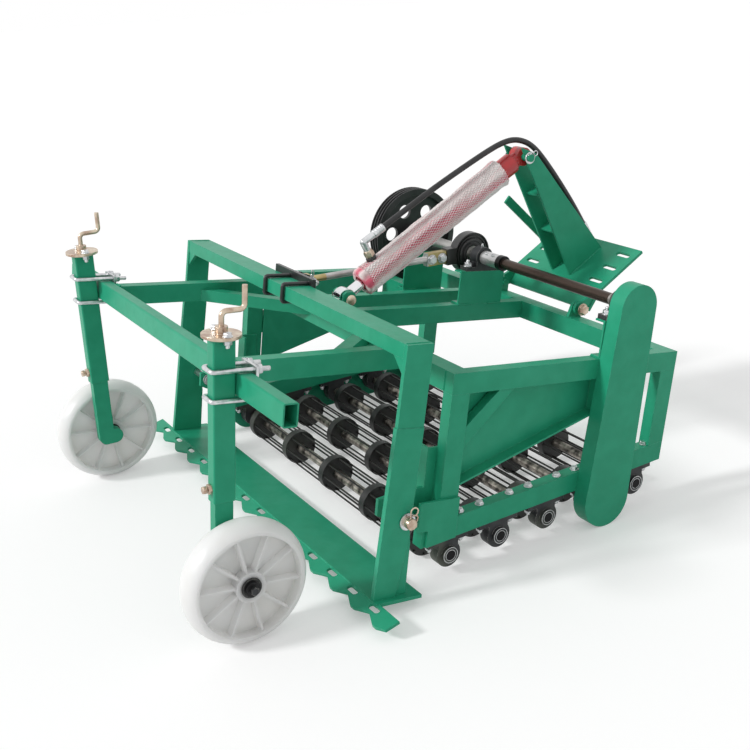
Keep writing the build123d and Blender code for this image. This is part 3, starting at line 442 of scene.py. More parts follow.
SHAFT_BANDS = [
    (-0.60, (0.55, 0.54, 0.52)), (-0.034, (0.66, 0.66, 0.66)), (0.048, (0.020, 0.020, 0.020)),
    (0.070, (0.075, 0.052, 0.040)), (0.575, (0.45, 0.43, 0.40))]
GOLD, ROD_GREY = (0.52, 0.42, 0.20), (0.52, 0.51, 0.50)
ROD_BANDS = [(-0.40, GOLD), (-0.288, ROD_GREY), (0.105, GOLD)]
PINKS = [
    (0.36, (0.70, 0.10, 0.17)), (0.45, (0.80, 0.34, 0.39)),
    (0.54, (0.88, 0.74, 0.73)), (0.64, (0.89, 0.87, 0.86))]
STRAND_WHITES = [(0.35, (0.87, 0.78, 0.77)), (0.60, (0.89, 0.88, 0.87))]
ROLLER_DARK, ROLLER_LIGHT, ROLLER_ROD = (0.055, 0.050, 0.045), (0.55, 0.50, 0.44), (0.045, 0.044, 0.042)

# Where a leg's axle and a roller's dark ends start, and the circle inside its rods, in metres
AXLE_START, ROLLER_END, ROD_CIRCLE = 0.598, 0.60, 0.035

HOSE_FINISH = rubber_finish()
SLEEVE_FINISH = foam_finish("foam_sleeve", PINKS, 0.07)
NET_FINISH = foam_finish("foam_strand", STRAND_WHITES, 0.2)
LEG_FINISH = surface("gauge_leg_paint", **GREEN, ends=(AXLE_START, DARK_END))
FINISH["hose_rubber"] = HOSE_FINISH
FINISH["foam_wrap"] = SLEEVE_FINISH
OWN_FINISH = {
    "drive_shaft": banded("shaft_finish", "Y", SHAFT_BANDS, (0.22, 0.42), 0.75, (-0.60, 0.70)),
    "connecting_rod": banded("rod_finish", "X", ROD_BANDS, (0.25, 0.45), 0.9, (-0.40, 0.30)),
    "pivot_pins": FINISH["zinc"],
    "gauge_leg_left": LEG_FINISH,
    "gauge_leg_right": LEG_FINISH,
}


def roller_axis(index):
    step = ROLLER_PITCH * index
    return Vector((ROLLER_FIRST[0] - step * cos(BED_SLOPE), 0, ROLLER_FIRST[1] + step * sin(BED_SLOPE)))


for roller in range(ROLLER_COUNT):
    OWN_FINISH[f"roller_cage_{roller + 1}"] = surface(
        f"roller_steel_{roller + 1}", ROLLER_DARK, ROLLER_LIGHT, (0.22, 0.50), metallic=0.9, scale=38.0,
        rods=(PLACE @ roller_axis(roller), ROD_CIRCLE, ROLLER_ROD), ends=(ROLLER_END, DARK_END))


def paint_nodes():
    """Give each solid its own finish, or else the finish of its material slot."""
    for row in frame["record"]["subparts"]:
        node = NODES[row["node"]]
        node.data.materials.clear()
        node.data.materials.append(OWN_FINISH.get(row["node"], FINISH[row["material_slot"]]))


# Pieces, in millimetres or in shares of a size
BACK, UP = Vector((-1, 0, 0)), Vector((0, 0, 1))
WASHER_THICK, WASHER_SOFT = 2.5, 0.5
HEX_SIDE, HEX_TOP = 0.82, 0.88
THREAD_TURN, THREAD_ROOT, THREAD_TIP = 1.6, 0.86, 0.8
WASHER_SHARE, ACROSS_SHARE, HEAD_SHARE, NUT_SHARE = 1.1, 1.6, 0.65, 0.8
CLAMP_WASHER, CLAMP_ACROSS, CLAMP_HEIGHT = 14, 23, 11
CLAMP_THREAD_START, CLAMP_THREAD_RADIUS = 13, 6.5
WELD_RADIUS, WELD_STEP, WELD_WANDER, WELD_TAPER = 3.2, 1.7, 0.7, 0.55
WELD_RIPPLE, WELD_LUMP, WELD_SEED = 0.13, 0.18, 7
CLIP_WIRE = 2.0

# Vector noise, which weld beads wander by, starts from the clock unless it is seeded
noise.seed_set(WELD_SEED)


class Kit:
    """Faces gathered in the level machine's millimetres, which become one piece that rides on a body."""

    def __init__(self):
        self.mesh = bmesh.new()

    def skin(self, rings, closed=False):
        """Join rings of points with faces. A ring of one point is a tip."""
        made = [[self.mesh.verts.new(point) for point in ring] for ring in rings]
        pairs = list(zip(made, made[1:]))
        if closed:
            pairs.append((made[-1], made[0]))
        for first, second in pairs:
            count = max(len(first), len(second))
            for i in range(count):
                j = (i + 1) % count
                if len(first) == 1:
                    self.mesh.faces.new((first[0], second[i], second[j]))
                elif len(second) == 1:
                    self.mesh.faces.new((first[i], first[j], second[0]))
                else:
                    self.mesh.faces.new((first[i], first[j], second[j], second[i]))

    def turned(self, place, run, profile, sides=24, phase=0.0):
        """A turned form: (radius, height) pairs round the line from place along run."""
        along = Vector(run).normalized()
        across = along.orthogonal().normalized()
        other = along.cross(across)
        rings = []
        for radius, height in profile:
            centre = Vector(place) + along * height
            if radius == 0:
                rings.append([centre])
                continue
            angles = [phase + 2 * pi * i / sides for i in range(sides)]
            rings.append([centre + (across * cos(a) + other * sin(a)) * radius for a in angles])
        self.skin(rings)

    def tube(self, points, radii, sides=10):
        """A round rod along points, with its own radius at each of them."""
        points = [Vector(point) for point in points]
        count = len(points)
        runs = [(points[min(i + 1, count - 1)] - points[max(i - 1, 0)]).normalized() for i in range(count)]
        across = runs[0].orthogonal().normalized()
        rings = [[points[0]]]
        for point, run, radius in zip(points, runs, radii):
            across = (across - run * across.dot(run)).normalized()
            other = run.cross(across)
            angles = [2 * pi * i / sides for i in range(sides)]
            rings.append([point + (across * cos(a) + other * sin(a)) * radius for a in angles])
        rings.append([points[-1]])
        self.skin(rings)

    def washer(self, place, run, radius, thick=WASHER_THICK):
        inner, high = radius - WASHER_SOFT, thick - WASHER_SOFT
        profile = [(0, 0), (inner, 0), (radius, WASHER_SOFT), (radius, high), (inner, thick), (0, thick)]
        self.turned(place, run, profile, 28)

    def ring(self, place, run, inner, outer, thick):
        """A flat ring."""
        self.turned(place, run, [(inner, 0), (outer, 0), (outer, thick), (inner, thick), (inner, 0)], 32)

    def hex(self, place, run, across, height, phase=0.3):
        """A hexagon with its outer corners chamfered."""
        corner = across / 3 ** 0.5
        profile = [(0, 0), (corner, 0), (corner, height * HEX_SIDE), (corner * HEX_TOP, height), (0, height)]
        self.turned(place, run, profile, 6, phase)

    def stud(self, place, run, radius, length):
        """A threaded end, with its thread as ridges and a chamfered tip."""
        profile = [(0, 0), (radius, 0)]
        height = THREAD_TURN
        while height < length - THREAD_TURN:
            profile += [(radius * THREAD_ROOT, height - THREAD_TURN / 2), (radius, height)]
            height += THREAD_TURN
        profile += [(radius * THREAD_TIP, length), (0, length)]
        self.turned(place, run, profile, 16)

    def bolt(self, place, run, size, washer=True):
        """A hex head on a washer, for a bolt of that thread size."""
        start = Vector(place)
        along = Vector(run).normalized()
        if washer:
            self.washer(start, along, size * WASHER_SHARE)
            start = start + along * WASHER_THICK
        self.hex(start, along, size * ACROSS_SHARE, size * HEAD_SHARE)

    def nut(self, place, run, size, thread):
        """A nut on a washer, with that length of the bolt standing out of it."""
        along = Vector(run).normalized()
        self.washer(place, along, size * WASHER_SHARE)
        start = Vector(place) + along * WASHER_THICK
        self.hex(start, along, size * ACROSS_SHARE, size * NUT_SHARE)
        self.stud(start + along * size * NUT_SHARE, along, size * 0.5, thread)

    def clamp_nut(self, place, thread):
        """A nut of a U-bolt, facing back, with that length of the bolt standing out of it."""
        start = Vector(place)
        self.washer(start, BACK, CLAMP_WASHER)
        self.hex(start + BACK * WASHER_THICK, BACK, CLAMP_ACROSS, CLAMP_HEIGHT)
        self.stud(start + BACK * CLAMP_THREAD_START, BACK, CLAMP_THREAD_RADIUS, thread)

    def weld(self, start, end, radius=WELD_RADIUS):
        """A weld bead with the ripples of its passes."""
        start, end = Vector(start), Vector(end)
        run = end - start
        steps = max(6, int(run.length / WELD_STEP))
        points, radii = [], []
        for i in range(steps + 1):
            spot = start + run * (i / steps)
            wander = noise.noise_vector(spot * 0.06) * WELD_WANDER
            points.append(spot + wander)
            ripple = 1 + WELD_RIPPLE * sin(i * 2.4) + WELD_LUMP * noise.noise(spot * 0.11)
            radii.append(radius * ripple * (WELD_TAPER if i in (0, steps) else 1.0))
        self.tube(points, radii, 8)

    def clip(self, place, across, up, size):
        """A spring clip: a straight leg through the pin at place, a humped leg over it and an end ring."""
        place, across, up = Vector(place), Vector(across).normalized(), Vector(up).normalized()
        straight = [(-14 + 3 * i, 0) for i in range(14)]
        ring = [(28 + 10 * sin(a), 10 - 10 * cos(a)) for a in (2 * pi * i / 20 for i in range(1, 18))]
        hump = [(17, 17), (12, 19.5), (6, 18), (0, 14.5), (-6, 13.5), (-12, 16)]
        spots = straight + ring + hump
        points = [place + across * (v * size) + up * (u * size) for u, v in spots]
        self.tube(points, [CLIP_WIRE * size] * len(points), 8)

    def finish(self, name, body, material, slot_name, smooth=40):
        """Make the piece, and let it ride on the body if one is named."""
        bmesh.ops.recalc_face_normals(self.mesh, faces=self.mesh.faces[:])
        self.mesh.transform(PLACE)
        mesh = bpy.data.meshes.new(name)
        self.mesh.to_mesh(mesh)
        self.mesh.free()
        mesh.polygons.foreach_set("use_smooth", [True] * len(mesh.polygons))
        mesh.set_sharp_from_angle(angle=radians(smooth))
        mesh.materials.append(material)
        piece = bpy.data.objects.new(name, mesh)
        bpy.context.scene.collection.objects.link(piece)
        if body:
            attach(piece, body)
        return piece


def on_rod(along, y):
    return Vector((CLEVIS_X + along * ROD_RUN[0], y, CLEVIS_Z + along * ROD_RUN[1]))


def on_plate(along, y):
    return Vector((PLATE_FRONT[0] + along * PLATE_RUN[0], y, PLATE_FRONT[1] + along * PLATE_RUN[1]))


# Hose, with its ferrules and the nuts of its elbow
FERRULE_RADIUS, FERRULE_LIP, FERRULE_MOUTH, FERRULE_LENGTH = 13.2, 12.6, 9.6, 42
GROOVE_RADIUS, GROOVE_COUNT, GROOVE_START, GROOVE_STEP = 12.1, 4, 9, 7.5
ELBOW_REACH, PORT_OUT = 42, 29
ADAPTOR_COLLAR_START, ADAPTOR_COLLAR = 8, [(0, 0), (15, 0), (15, 9), (0, 9)]
ADAPTOR_START, ADAPTOR_ACROSS, ADAPTOR_HEIGHT = 16, 32, 12
ELBOW_NUT_START, ELBOW_NUT_ACROSS, ELBOW_NUT_HEIGHT, ELBOW_NUT_PHASE = 29, 29, 17, 0.8
ELBOW_NUT_COLLAR = [(0, 0), (14, 0), (13, 4), (0, 4)]


def nurbs_points(route):
    """Points of the smooth line whose control points are the route, in the row frame."""
    data = bpy.data.curves.new("hose_line", "CURVE")
    data.dimensions = "3D"
    data.resolution_u = 16
    spline = data.splines.new("NURBS")
    spline.points.add(len(route) - 1)
    for point, (x, z) in zip(spline.points, route):
        point.co = (*(PLACE @ Vector((x, 0, z))), 1.0)
    spline.order_u = 3
    spline.use_endpoint_u = True
    holder = bpy.data.objects.new("hose_line", data)
    bpy.context.scene.collection.objects.link(holder)
    bpy.context.view_layer.update()
    mesh = bpy.data.meshes.new_from_object(holder)
    points = [vertex.co.copy() for vertex in mesh.vertices]
    bpy.data.meshes.remove(mesh)
    bpy.data.objects.remove(holder)
    bpy.data.curves.remove(data)
    return points


def ferrule_profile():
    """Radius and height of a crimped ferrule, with a groove at each crimp."""
    profile = [(0, 0), (FERRULE_LIP, 0), (FERRULE_RADIUS, 1), (FERRULE_RADIUS, 8)]
    for groove in range(GROOVE_COUNT):
        low = GROOVE_START + groove * GROOVE_STEP
        profile += [(GROOVE_RADIUS, low), (GROOVE_RADIUS, low + 2)]
        profile += [(FERRULE_RADIUS, low + 3), (FERRULE_RADIUS, low + 6.5)]
    return profile + [(FERRULE_LIP, FERRULE_LENGTH - 1), (FERRULE_MOUTH, FERRULE_LENGTH), (0, FERRULE_LENGTH)]


def add_hose():
    points = nurbs_points(HOSE_ROUTE)
    to_level = PLACE.inverted()
    kit = Kit()
    radius = HOSE_DIAMETER * 1000 / 2
    kit.tube([to_level @ point for point in points], [radius] * len(points), 20)
    hose = kit.finish("hose", None, HOSE_FINISH, "hose_rubber", 60)
    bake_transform(hose)
    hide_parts("hose_lower", "hose_upper")
    for name, body, end, run in (
            ("hose_ferrule_low", "cylinder_barrel", points[0], points[1] - points[0]),
            ("hose_ferrule_high", "mast", points[-1], points[-2] - points[-1])):
        ring = Kit()
        ring.turned(to_level @ end, to_level.to_3x3() @ run, ferrule_profile(), 28)
        ring.finish(name, body, FINISH["zinc"], "zinc")


def add_elbow_nuts():
    first, second = HOSE_ROUTE[0], HOSE_ROUTE[1]
    run = unit_run(first, second)
    corner = Vector((first[0] - run[0] * ELBOW_REACH, 0, first[1] - run[1] * ELBOW_REACH))
    port = on_cylinder(ELBOW_ALONG, PORT_OUT)
    along = (corner - port).normalized()
    black = Kit()
    black.hex(port + along * ADAPTOR_START, along, ADAPTOR_ACROSS, ADAPTOR_HEIGHT)
    black.turned(port + along * ADAPTOR_COLLAR_START, along, ADAPTOR_COLLAR, 28)
    black.finish("elbow_adaptor", "cylinder_barrel", FINISH["black_paint"], "black_paint")
    gold = Kit()
    gold.hex(port + along * ELBOW_NUT_START, along, ELBOW_NUT_ACROSS, ELBOW_NUT_HEIGHT, ELBOW_NUT_PHASE)
    gold.turned(port + along * (ELBOW_NUT_START + ELBOW_NUT_HEIGHT), along, ELBOW_NUT_COLLAR, 28)
    gold.finish("elbow_nut", "cylinder_barrel", FINISH["yellow_zinc"], "yellow_zinc")


# Foam sleeve and net on the cylinder
FOAM_RADIUS, WRAP_GAP = 42.6, 2
FOLD, RIPPLE, LUMP, FLARE = 1.9, 1.3, 2.6, 3.0
SLEEVE_ROUND, SLEEVE_ROWS = 72, 120
SLEEVE_RAGGED, SLEEVE_INSET, SLEEVE_SHORT = 7, 8, 2
FOLDED_END = (
    (BARREL_END + 4, 38), (BARREL_END + 5, 27), (BARREL_END + 1.5, 27), (BARREL_END + 1.5, 36.5),
    (BARREL_END - 14, 36), (WRAP_START + 14, 36))
NET_ROUND, NET_STEP, NET_INSET = 34, 8.0, 6
NET_STRAND, NET_LIFT, NET_SLIP, NET_TWIST = 2.3, 0.9, 2.5, 0.05


def foam_radius(angle, along):
    """Radius of the loose sleeve, with long folds and slack that differ from place to place."""
    share = (along - WRAP_START) / (WRAP_END - WRAP_START)
    folds = FOLD * sin(3 * angle + 1.2 * sin(along / 95)) + RIPPLE * sin(8 * angle - along / 75)
    lumps = LUMP * noise.noise(Vector((2.2 * cos(angle), 2.2 * sin(angle), along / 34)))
    ends = FLARE * max(0.0, 1 - min(share, 1 - share) * 16)
    return min(FOAM_RADIUS + folds + lumps + ends, WRAP_RADIUS - WRAP_GAP)


def foam_spot(angle, along, lift):
    radius = foam_radius(angle, along) + lift
    return on_cylinder(along, radius * cos(angle), radius * sin(angle))


def add_sleeve():
    sleeve = Kit()
    angles = [2 * pi * column / SLEEVE_ROUND for column in range(SLEEVE_ROUND)]
    rings = []
    for row in range(SLEEVE_ROWS + 1):
        ring = []
        for angle in angles:
            ragged = SLEEVE_RAGGED * noise.noise(Vector((3 * cos(angle), 3 * sin(angle), 4.0)))
            low, high = WRAP_START + SLEEVE_INSET + ragged, BARREL_END - SLEEVE_SHORT + ragged * 0.3
            ring.append(foam_spot(angle, low + (high - low) * row / SLEEVE_ROWS, 0))
        rings.append(ring)
    for along, radius in FOLDED_END:
        rings.append([on_cylinder(along, radius * cos(a), radius * sin(a)) for a in angles])
    sleeve.skin(rings, closed=True)
    body = sleeve.finish("foam_sleeve", "cylinder_barrel", SLEEVE_FINISH, "foam_wrap", 80)
    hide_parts("cylinder_wrap")


def net_lattice(mesh):
    """Knots of the net on the sleeve, each a little out of place, and the number of their last row."""
    rows = int((WRAP_END - WRAP_START - 2 * NET_INSET) / NET_STEP)
    lattice = {}
    for row in range(rows + 1):
        for column in range(NET_ROUND):
            slip = NET_SLIP * noise.noise(Vector((column * 0.7, row * 0.3, 1.5)))
            twist = NET_TWIST * noise.noise(Vector((column * 0.9, row * 0.4, 7.5)))
            angle = 2 * pi * (column + 0.5 * (row % 2)) / NET_ROUND + twist
            along = WRAP_START + NET_INSET + row * NET_STEP + slip
            lattice[row, column] = mesh.verts.new(PLACE @ foam_spot(angle, along, NET_LIFT))
    return lattice, rows


def add_net():
    mesh = bmesh.new()
    lattice, rows = net_lattice(mesh)
    for row in range(rows - 1):
        shift = row % 2
        for column in range(NET_ROUND):
            right = (column + shift) % NET_ROUND
            left = (column - 1 + shift) % NET_ROUND
            mesh.faces.new((lattice[row, column], lattice[row + 1, right],
                            lattice[row + 2, column], lattice[row + 1, left]))
    bmesh.ops.recalc_face_normals(mesh, faces=mesh.faces[:])
    data = bpy.data.meshes.new("foam_net")
    mesh.to_mesh(data)
    mesh.free()
    data.materials.append(NET_FINISH)
    net = bpy.data.objects.new("foam_net", data)
    bpy.context.scene.collection.objects.link(net)
    strands = net.modifiers.new("strands", "WIREFRAME")
    strands.thickness = NET_STRAND / 1000
    strands.use_even_offset = False
    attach(net, "cylinder_barrel")


# Fasteners, with profiles as pairs of radius and height
COVER_PROFILE = [
    (27, -0.6), (52, -0.6), (52, 2), (50.5, 3), (44, 3), (42, 1), (36, 1), (34, 4.5), (29, 4.5), (27, 3.5),
    (27, -0.6)]
BED_DOWN = Vector((-sin(BED_SLOPE), 0, -cos(BED_SLOPE)))
BED_RUN = Vector((-cos(BED_SLOPE), 0, sin(BED_SLOPE)))
BEARING_BOLT_STEP = 54
ROLLER_BOLT, ROLLER_THREAD, ROLLER_FOOT, ROLLER_RAIL = 12, 7, 36, 110
BEARING_FACE, BEARING_RING_THICK, BEARING_RINGS = 647.6, 1.0, ((22.5, 24.3), (15.4, 17.0))
DECK_BOLT, DECK_THREAD, DECK_HALF = 14, 9, 33
NIPPLE = [(0, 0), (5, 0), (5, 5), (3, 6), (3.6, 8), (2, 11), (0, 11)]
LID_BOLT, LID_THREAD, LID_STEP, LID_THICK = 12, 9, 36, 8
LOCK_RISE, LOCK_BOSS, LOCK_SCREW_OUT, LOCK_SCREW = 36, (24, 10), 14, (19, 9, 0.7)
LOCK_STUD_OUT, LOCK_STUD = 10, (5.5, 4)
POST_CLAMP_BACK, POST_CLAMP_STEP, POST_CLAMP_GAP, POST_CLAMP_THREAD = 8, 27, 8, 23.6
HINGE_BOLT = 19
FOOT_PIN_Y, FOOT_PIN_HEAD = 42, [(0, 0), (16, 0), (17, 1), (17, 4), (14, 6.5), (0, 7.5)]
PORTAL_PIN_Y, PORTAL_PIN_HEAD = 705.2, [(0, 0), (16, 0), (16, 20), (14.5, 22), (0, 22)]
PORTAL_CLIP_Y, PORTAL_CLIP_SIZE = 718, 1.15
GUARD_Y, GUARD_BOLT, GUARD_RISE = -692, 16, 64
ANCHOR_CLAMP_Y, ANCHOR_CLAMP_BACK, ANCHOR_CLAMP_GAP, ANCHOR_CLAMP_THREAD = (-78, 36), 12, 7, 9.6
CLEVIS_HALF, CLEVIS_WASHER, CLEVIS_CLIP_OUT = 24, 17, 32
CLEVIS_PIN_HEAD = [(0, 0), (16, 0), (16, 5), (14, 7), (0, 7)]
SMALL_CLIP_SIZE = 0.8
STRAP_BOLT, STRAP_THREAD, STRAP_HALF, STRAP_BOLTS_BACK = 16, 6, 12, (166, 124)
PULLEY_BOLT, PULLEY_FACE_Y, PULLEY_BOLT_CIRCLE, PULLEY_ANGLES = 9, -449, 29, (0.6, 2.7, 4.8)
COLLAR_Y, COLLAR_RADIUS, COLLAR_RUN = (-8, 26), 22, Vector((0.62, 0, 0.78))
COLLAR_SCREW = [(0, 0), (5.5, 0), (5.5, 5), (4.8, 6), (2.6, 6), (2.6, 3), (0, 3)]
MAST_WASHER_Y, MAST_WASHER_RADIUS, MAST_WASHER_THICK, MAST_CLIP_Y = 50.4, 20, 3, 56.4
HUB_RING, AXLE_NUT = (24, 27, 1.2), (21, 7)


def add_eccentric_cover():
    """Pressed covers that close the eccentric housing round the shaft."""
    cover = Kit()
    for hand in (1, -1):
        face = (SHAFT_X, ROD_Y + hand * HOUSING_HALF, SHAFT_Z)
        cover.turned(face, (0, hand, 0), COVER_PROFILE, 48)
    cover.finish("eccentric_cover", "connecting_rod", FINISH["black_paint"], "black_paint")


def roller_bearing_bolts(silver):
    """Nuts under the roller bearings' feet, bolt heads on the rails, and bright rings in the bearings."""
    for index in range(ROLLER_COUNT):
        axis = roller_axis(index)
        for hand in (-1, 1):
            y = hand * RAIL_MIDDLE
            for step in (-BEARING_BOLT_STEP, BEARING_BOLT_STEP):
                foot = axis - BED_DOWN * ROLLER_FOOT + BED_RUN * step
                silver.nut((foot.x, y, foot.z), BED_DOWN, ROLLER_BOLT, ROLLER_THREAD)
                crown = axis - BED_DOWN * ROLLER_RAIL + BED_RUN * step
                silver.bolt((crown.x, y, crown.z), -BED_DOWN, ROLLER_BOLT)
            if index == CASE_ROLLER and hand > 0:
                continue
            face = (axis.x, hand * BEARING_FACE, axis.z)
            for inner, outer in BEARING_RINGS:
                silver.ring(face, (0, hand, 0), inner, outer, BEARING_RING_THICK)


def deck_bearing_bolts(silver):
    """Nuts on the feet of the shaft's bearings, and a grease nipple on each housing."""
    for y, _, _ in DECK_BEARINGS:
        for step in (-BEARING_BOLT_STEP, BEARING_BOLT_STEP):
            silver.nut((SHAFT_X + step, y, SHAFT_Z - DECK_HALF), UP, DECK_BOLT, DECK_THREAD)
        silver.turned((SHAFT_X, y, SHAFT_Z + DECK_HALF), UP, NIPPLE, 12)


def gauge_post_bolts(silver, gold, side):
    """Bolts through a post's lid, its locking screw, and the nuts of its clamp on the gauge tube."""
    origin = on_post(side, 0, 0, 0)
    up, out = on_post(side, 0, 0, 1) - origin, on_post(side, 1, 0, 0) - origin
    lid, lock = SLEEVE_TOP - GAUGE_LOW, SLEEVE_BOTTOM - GAUGE_LOW + LOCK_RISE
    for across in (-LID_STEP, LID_STEP):
        silver.bolt(on_post(side, SLEEVE_DEPTH / 2, across, lid + LID_THICK), up, LID_BOLT)
        silver.nut(on_post(side, SLEEVE_DEPTH / 2, across, lid), -up, LID_BOLT, LID_THREAD)
    gold.hex(on_post(side, SLEEVE_DEPTH, 0, lock), out, *LOCK_BOSS)
    gold.hex(on_post(side, SLEEVE_DEPTH + LOCK_SCREW_OUT, 0, lock), out, *LOCK_SCREW)
    gold.stud(on_post(side, SLEEVE_DEPTH + LOCK_STUD_OUT, 0, lock), out, *LOCK_STUD)
    for step in (-POST_CLAMP_STEP, POST_CLAMP_STEP):
        for z in (GAUGE_LOW - POST_CLAMP_GAP, GAUGE_HIGH + POST_CLAMP_GAP):
            place = (GAUGE_BACK - POST_CLAMP_BACK, SLEEVE_Y * HAND[side] + step, z)
            silver.clamp_nut(place, POST_CLAMP_THREAD)


def pin_heads(gold, hand):
    """Heads of the hinge bolt, the cylinder's foot pin and the portal's pin, which has a spring clip."""
    gold.bolt((HINGE_X, hand * HINGE_END, HINGE_Z), (0, hand, 0), HINGE_BOLT)
    gold.turned((CYLINDER_FOOT[0], hand * FOOT_PIN_Y, CYLINDER_FOOT[1]), (0, hand, 0), FOOT_PIN_HEAD, 28)
    gold.turned((PIN_X, hand * PORTAL_PIN_Y, PIN_Z), (0, hand, 0), PORTAL_PIN_HEAD, 28)
    gold.clip((PIN_X, hand * PORTAL_CLIP_Y, PIN_Z), (-1, 0, 0.1), (0.1, 0, 1), PORTAL_CLIP_SIZE)


def add_frame_bolts():
    silver, gold = Kit(), Kit()
    roller_bearing_bolts(silver)
    deck_bearing_bolts(silver)
    for side, hand in HAND.items():
        gauge_post_bolts(silver, gold, side)
        pin_heads(gold, hand)
    for index in range(1, ROLLER_COUNT):
        spot = roller_axis(index) - BED_DOWN * GUARD_RISE
        silver.bolt((spot.x, GUARD_Y, spot.z), (0, -1, 0), GUARD_BOLT)
    silver.finish("frame_bolts", "frame", FINISH["zinc"], "zinc")
    gold.finish("frame_pin_heads", "frame", FINISH["yellow_zinc"], "yellow_zinc")


def add_anchor_bolts():
    portal = Kit()
    for y in ANCHOR_CLAMP_Y:
        for z in (BEAM_LOW - ANCHOR_CLAMP_GAP, BEAM_TOP + ANCHOR_CLAMP_GAP):
            portal.clamp_nut((BEAM_BACK - ANCHOR_CLAMP_BACK, y, z), ANCHOR_CLAMP_THREAD)
    portal.washer((CLEVIS_X, ROD_Y + CLEVIS_HALF, CLEVIS_Z), (0, 1, 0), CLEVIS_WASHER)
    portal.turned((CLEVIS_X, ROD_Y - CLEVIS_HALF, CLEVIS_Z), (0, -1, 0), CLEVIS_PIN_HEAD, 24)
    clip_place = (CLEVIS_X, ROD_Y + CLEVIS_CLIP_OUT, CLEVIS_Z)
    portal.clip(clip_place, (0.5, 0, 0.87), (-0.2, 0, 0.98), SMALL_CLIP_SIZE)
    portal.finish("anchor_bolts", "blade_portal", FINISH["zinc"], "zinc")


def add_strap_bolts():
    rod = Kit()
    for back in STRAP_BOLTS_BACK:
        along = ROD_LENGTH - back
        rod.bolt(on_rod(along, ROD_Y + STRAP_HALF), (0, 1, 0), STRAP_BOLT)
        rod.nut(on_rod(along, ROD_Y - STRAP_HALF), (0, -1, 0), STRAP_BOLT, STRAP_THREAD)
    rod.finish("strap_bolts", "connecting_rod", FINISH["zinc"], "zinc")


def add_shaft_screws():
    shaft = Kit()
    for angle in PULLEY_ANGLES:
        x, z = SHAFT_X + PULLEY_BOLT_CIRCLE * cos(angle), SHAFT_Z + PULLEY_BOLT_CIRCLE * sin(angle)
        shaft.bolt((x, PULLEY_FACE_Y, z), (0, 1, 0), PULLEY_BOLT, False)
    for y in COLLAR_Y:
        place = Vector((SHAFT_X, y, SHAFT_Z)) + COLLAR_RUN * COLLAR_RADIUS
        shaft.turned(place, COLLAR_RUN, COLLAR_SCREW, 18)
    shaft.finish("shaft_screws", "drive_shaft", FINISH["zinc"], "zinc")


def add_mast_clips():
    mast = Kit()
    x, z = MAST_PIN
    for hand in (1, -1):
        mast.washer((x, hand * MAST_WASHER_Y, z), (0, hand, 0), MAST_WASHER_RADIUS, MAST_WASHER_THICK)
        mast.clip((x, hand * MAST_CLIP_Y, z), (0.4, 0, 0.92), (-0.92, 0, 0.4), SMALL_CLIP_SIZE)
    mast.finish("mast_clips", "mast", FINISH["zinc"], "zinc")


def add_hub_nuts():
    for side, hand in HAND.items():
        low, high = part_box(f"wheel_hub_{side}")
        centre = PLACE.inverted() @ ((low + high) / 2)
        face = (high.y if hand > 0 else low.y) * 1000
        hub = Kit()
        axle = max(abs(corner.y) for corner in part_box(f"gauge_leg_{side}")) * 1000
        hub.ring((centre.x, face, centre.z), (0, hand, 0), *HUB_RING)
        hub.hex((centre.x, hand * (axle - 1), centre.z), (0, hand, 0), *AXLE_NUT)
        hub.finish(f"hub_nut_{side}", f"gauge_leg_{side}", FINISH["grey_cast"], "grey_cast")


# Weld beads
WELD_SMOOTH = 70
SEAM_WELD, EDGE_WELD, SMALL_WELD, BEARING_WELD, MAST_WELD = 2.6, 2.4, 2.8, 3.0, 3.6
LEG_THICK = 16
TUBE_WIDTH, RAIL_LOW = 60, 591
ARM_WELD_HALF = 18
FOOT_LUG_BACK, FOOT_LUG_FRONT, FOOT_LUG_Y = -256, -206, 34
HINGE_LUG_BACK, HINGE_LUG_FRONT, HINGE_LUG_INSETS = -1048, -998, (38, 22)
BEARING_BASE_HALF, BEARING_WELD_SHARE = 19.5, 0.35
MAST_WELD_START, MAST_WELD_END, MAST_WELD_Y = 30, 184, 51


def add_portal_welds():
    portal = Kit()
    for hand in (1, -1):
        inner = hand * (PORTAL_HALF - LEG_THICK)
        portal.weld((-1, inner, BEAM_LOW), (-1, inner, BEAM_TOP - 2), SEAM_WELD)
        portal.weld((BEAM_BACK + 4, inner, BEAM_TOP), (-4, inner, BEAM_TOP), EDGE_WELD)
    portal.finish("portal_welds", "blade_portal", FINISH["green_paint"], "green_paint", WELD_SMOOTH)


def rail_welds(body, hand):
    """Beads where the cross tubes meet a top rail."""
    inside, outside = hand * RAIL_INSIDE, hand * RAIL_OUTSIDE
    for x in (FRAME_FRONT, FRAME_FRONT - TUBE_WIDTH, FRAME_REAR, FRAME_REAR + TUBE_WIDTH):
        body.weld((x, inside, RAIL_LOW + 3), (x, inside, FRAME_TOP - 2))
    for x in (FRAME_FRONT - TUBE_WIDTH, FRAME_REAR + TUBE_WIDTH):
        body.weld((x, outside, RAIL_LOW), (x, inside, RAIL_LOW), SMALL_WELD)


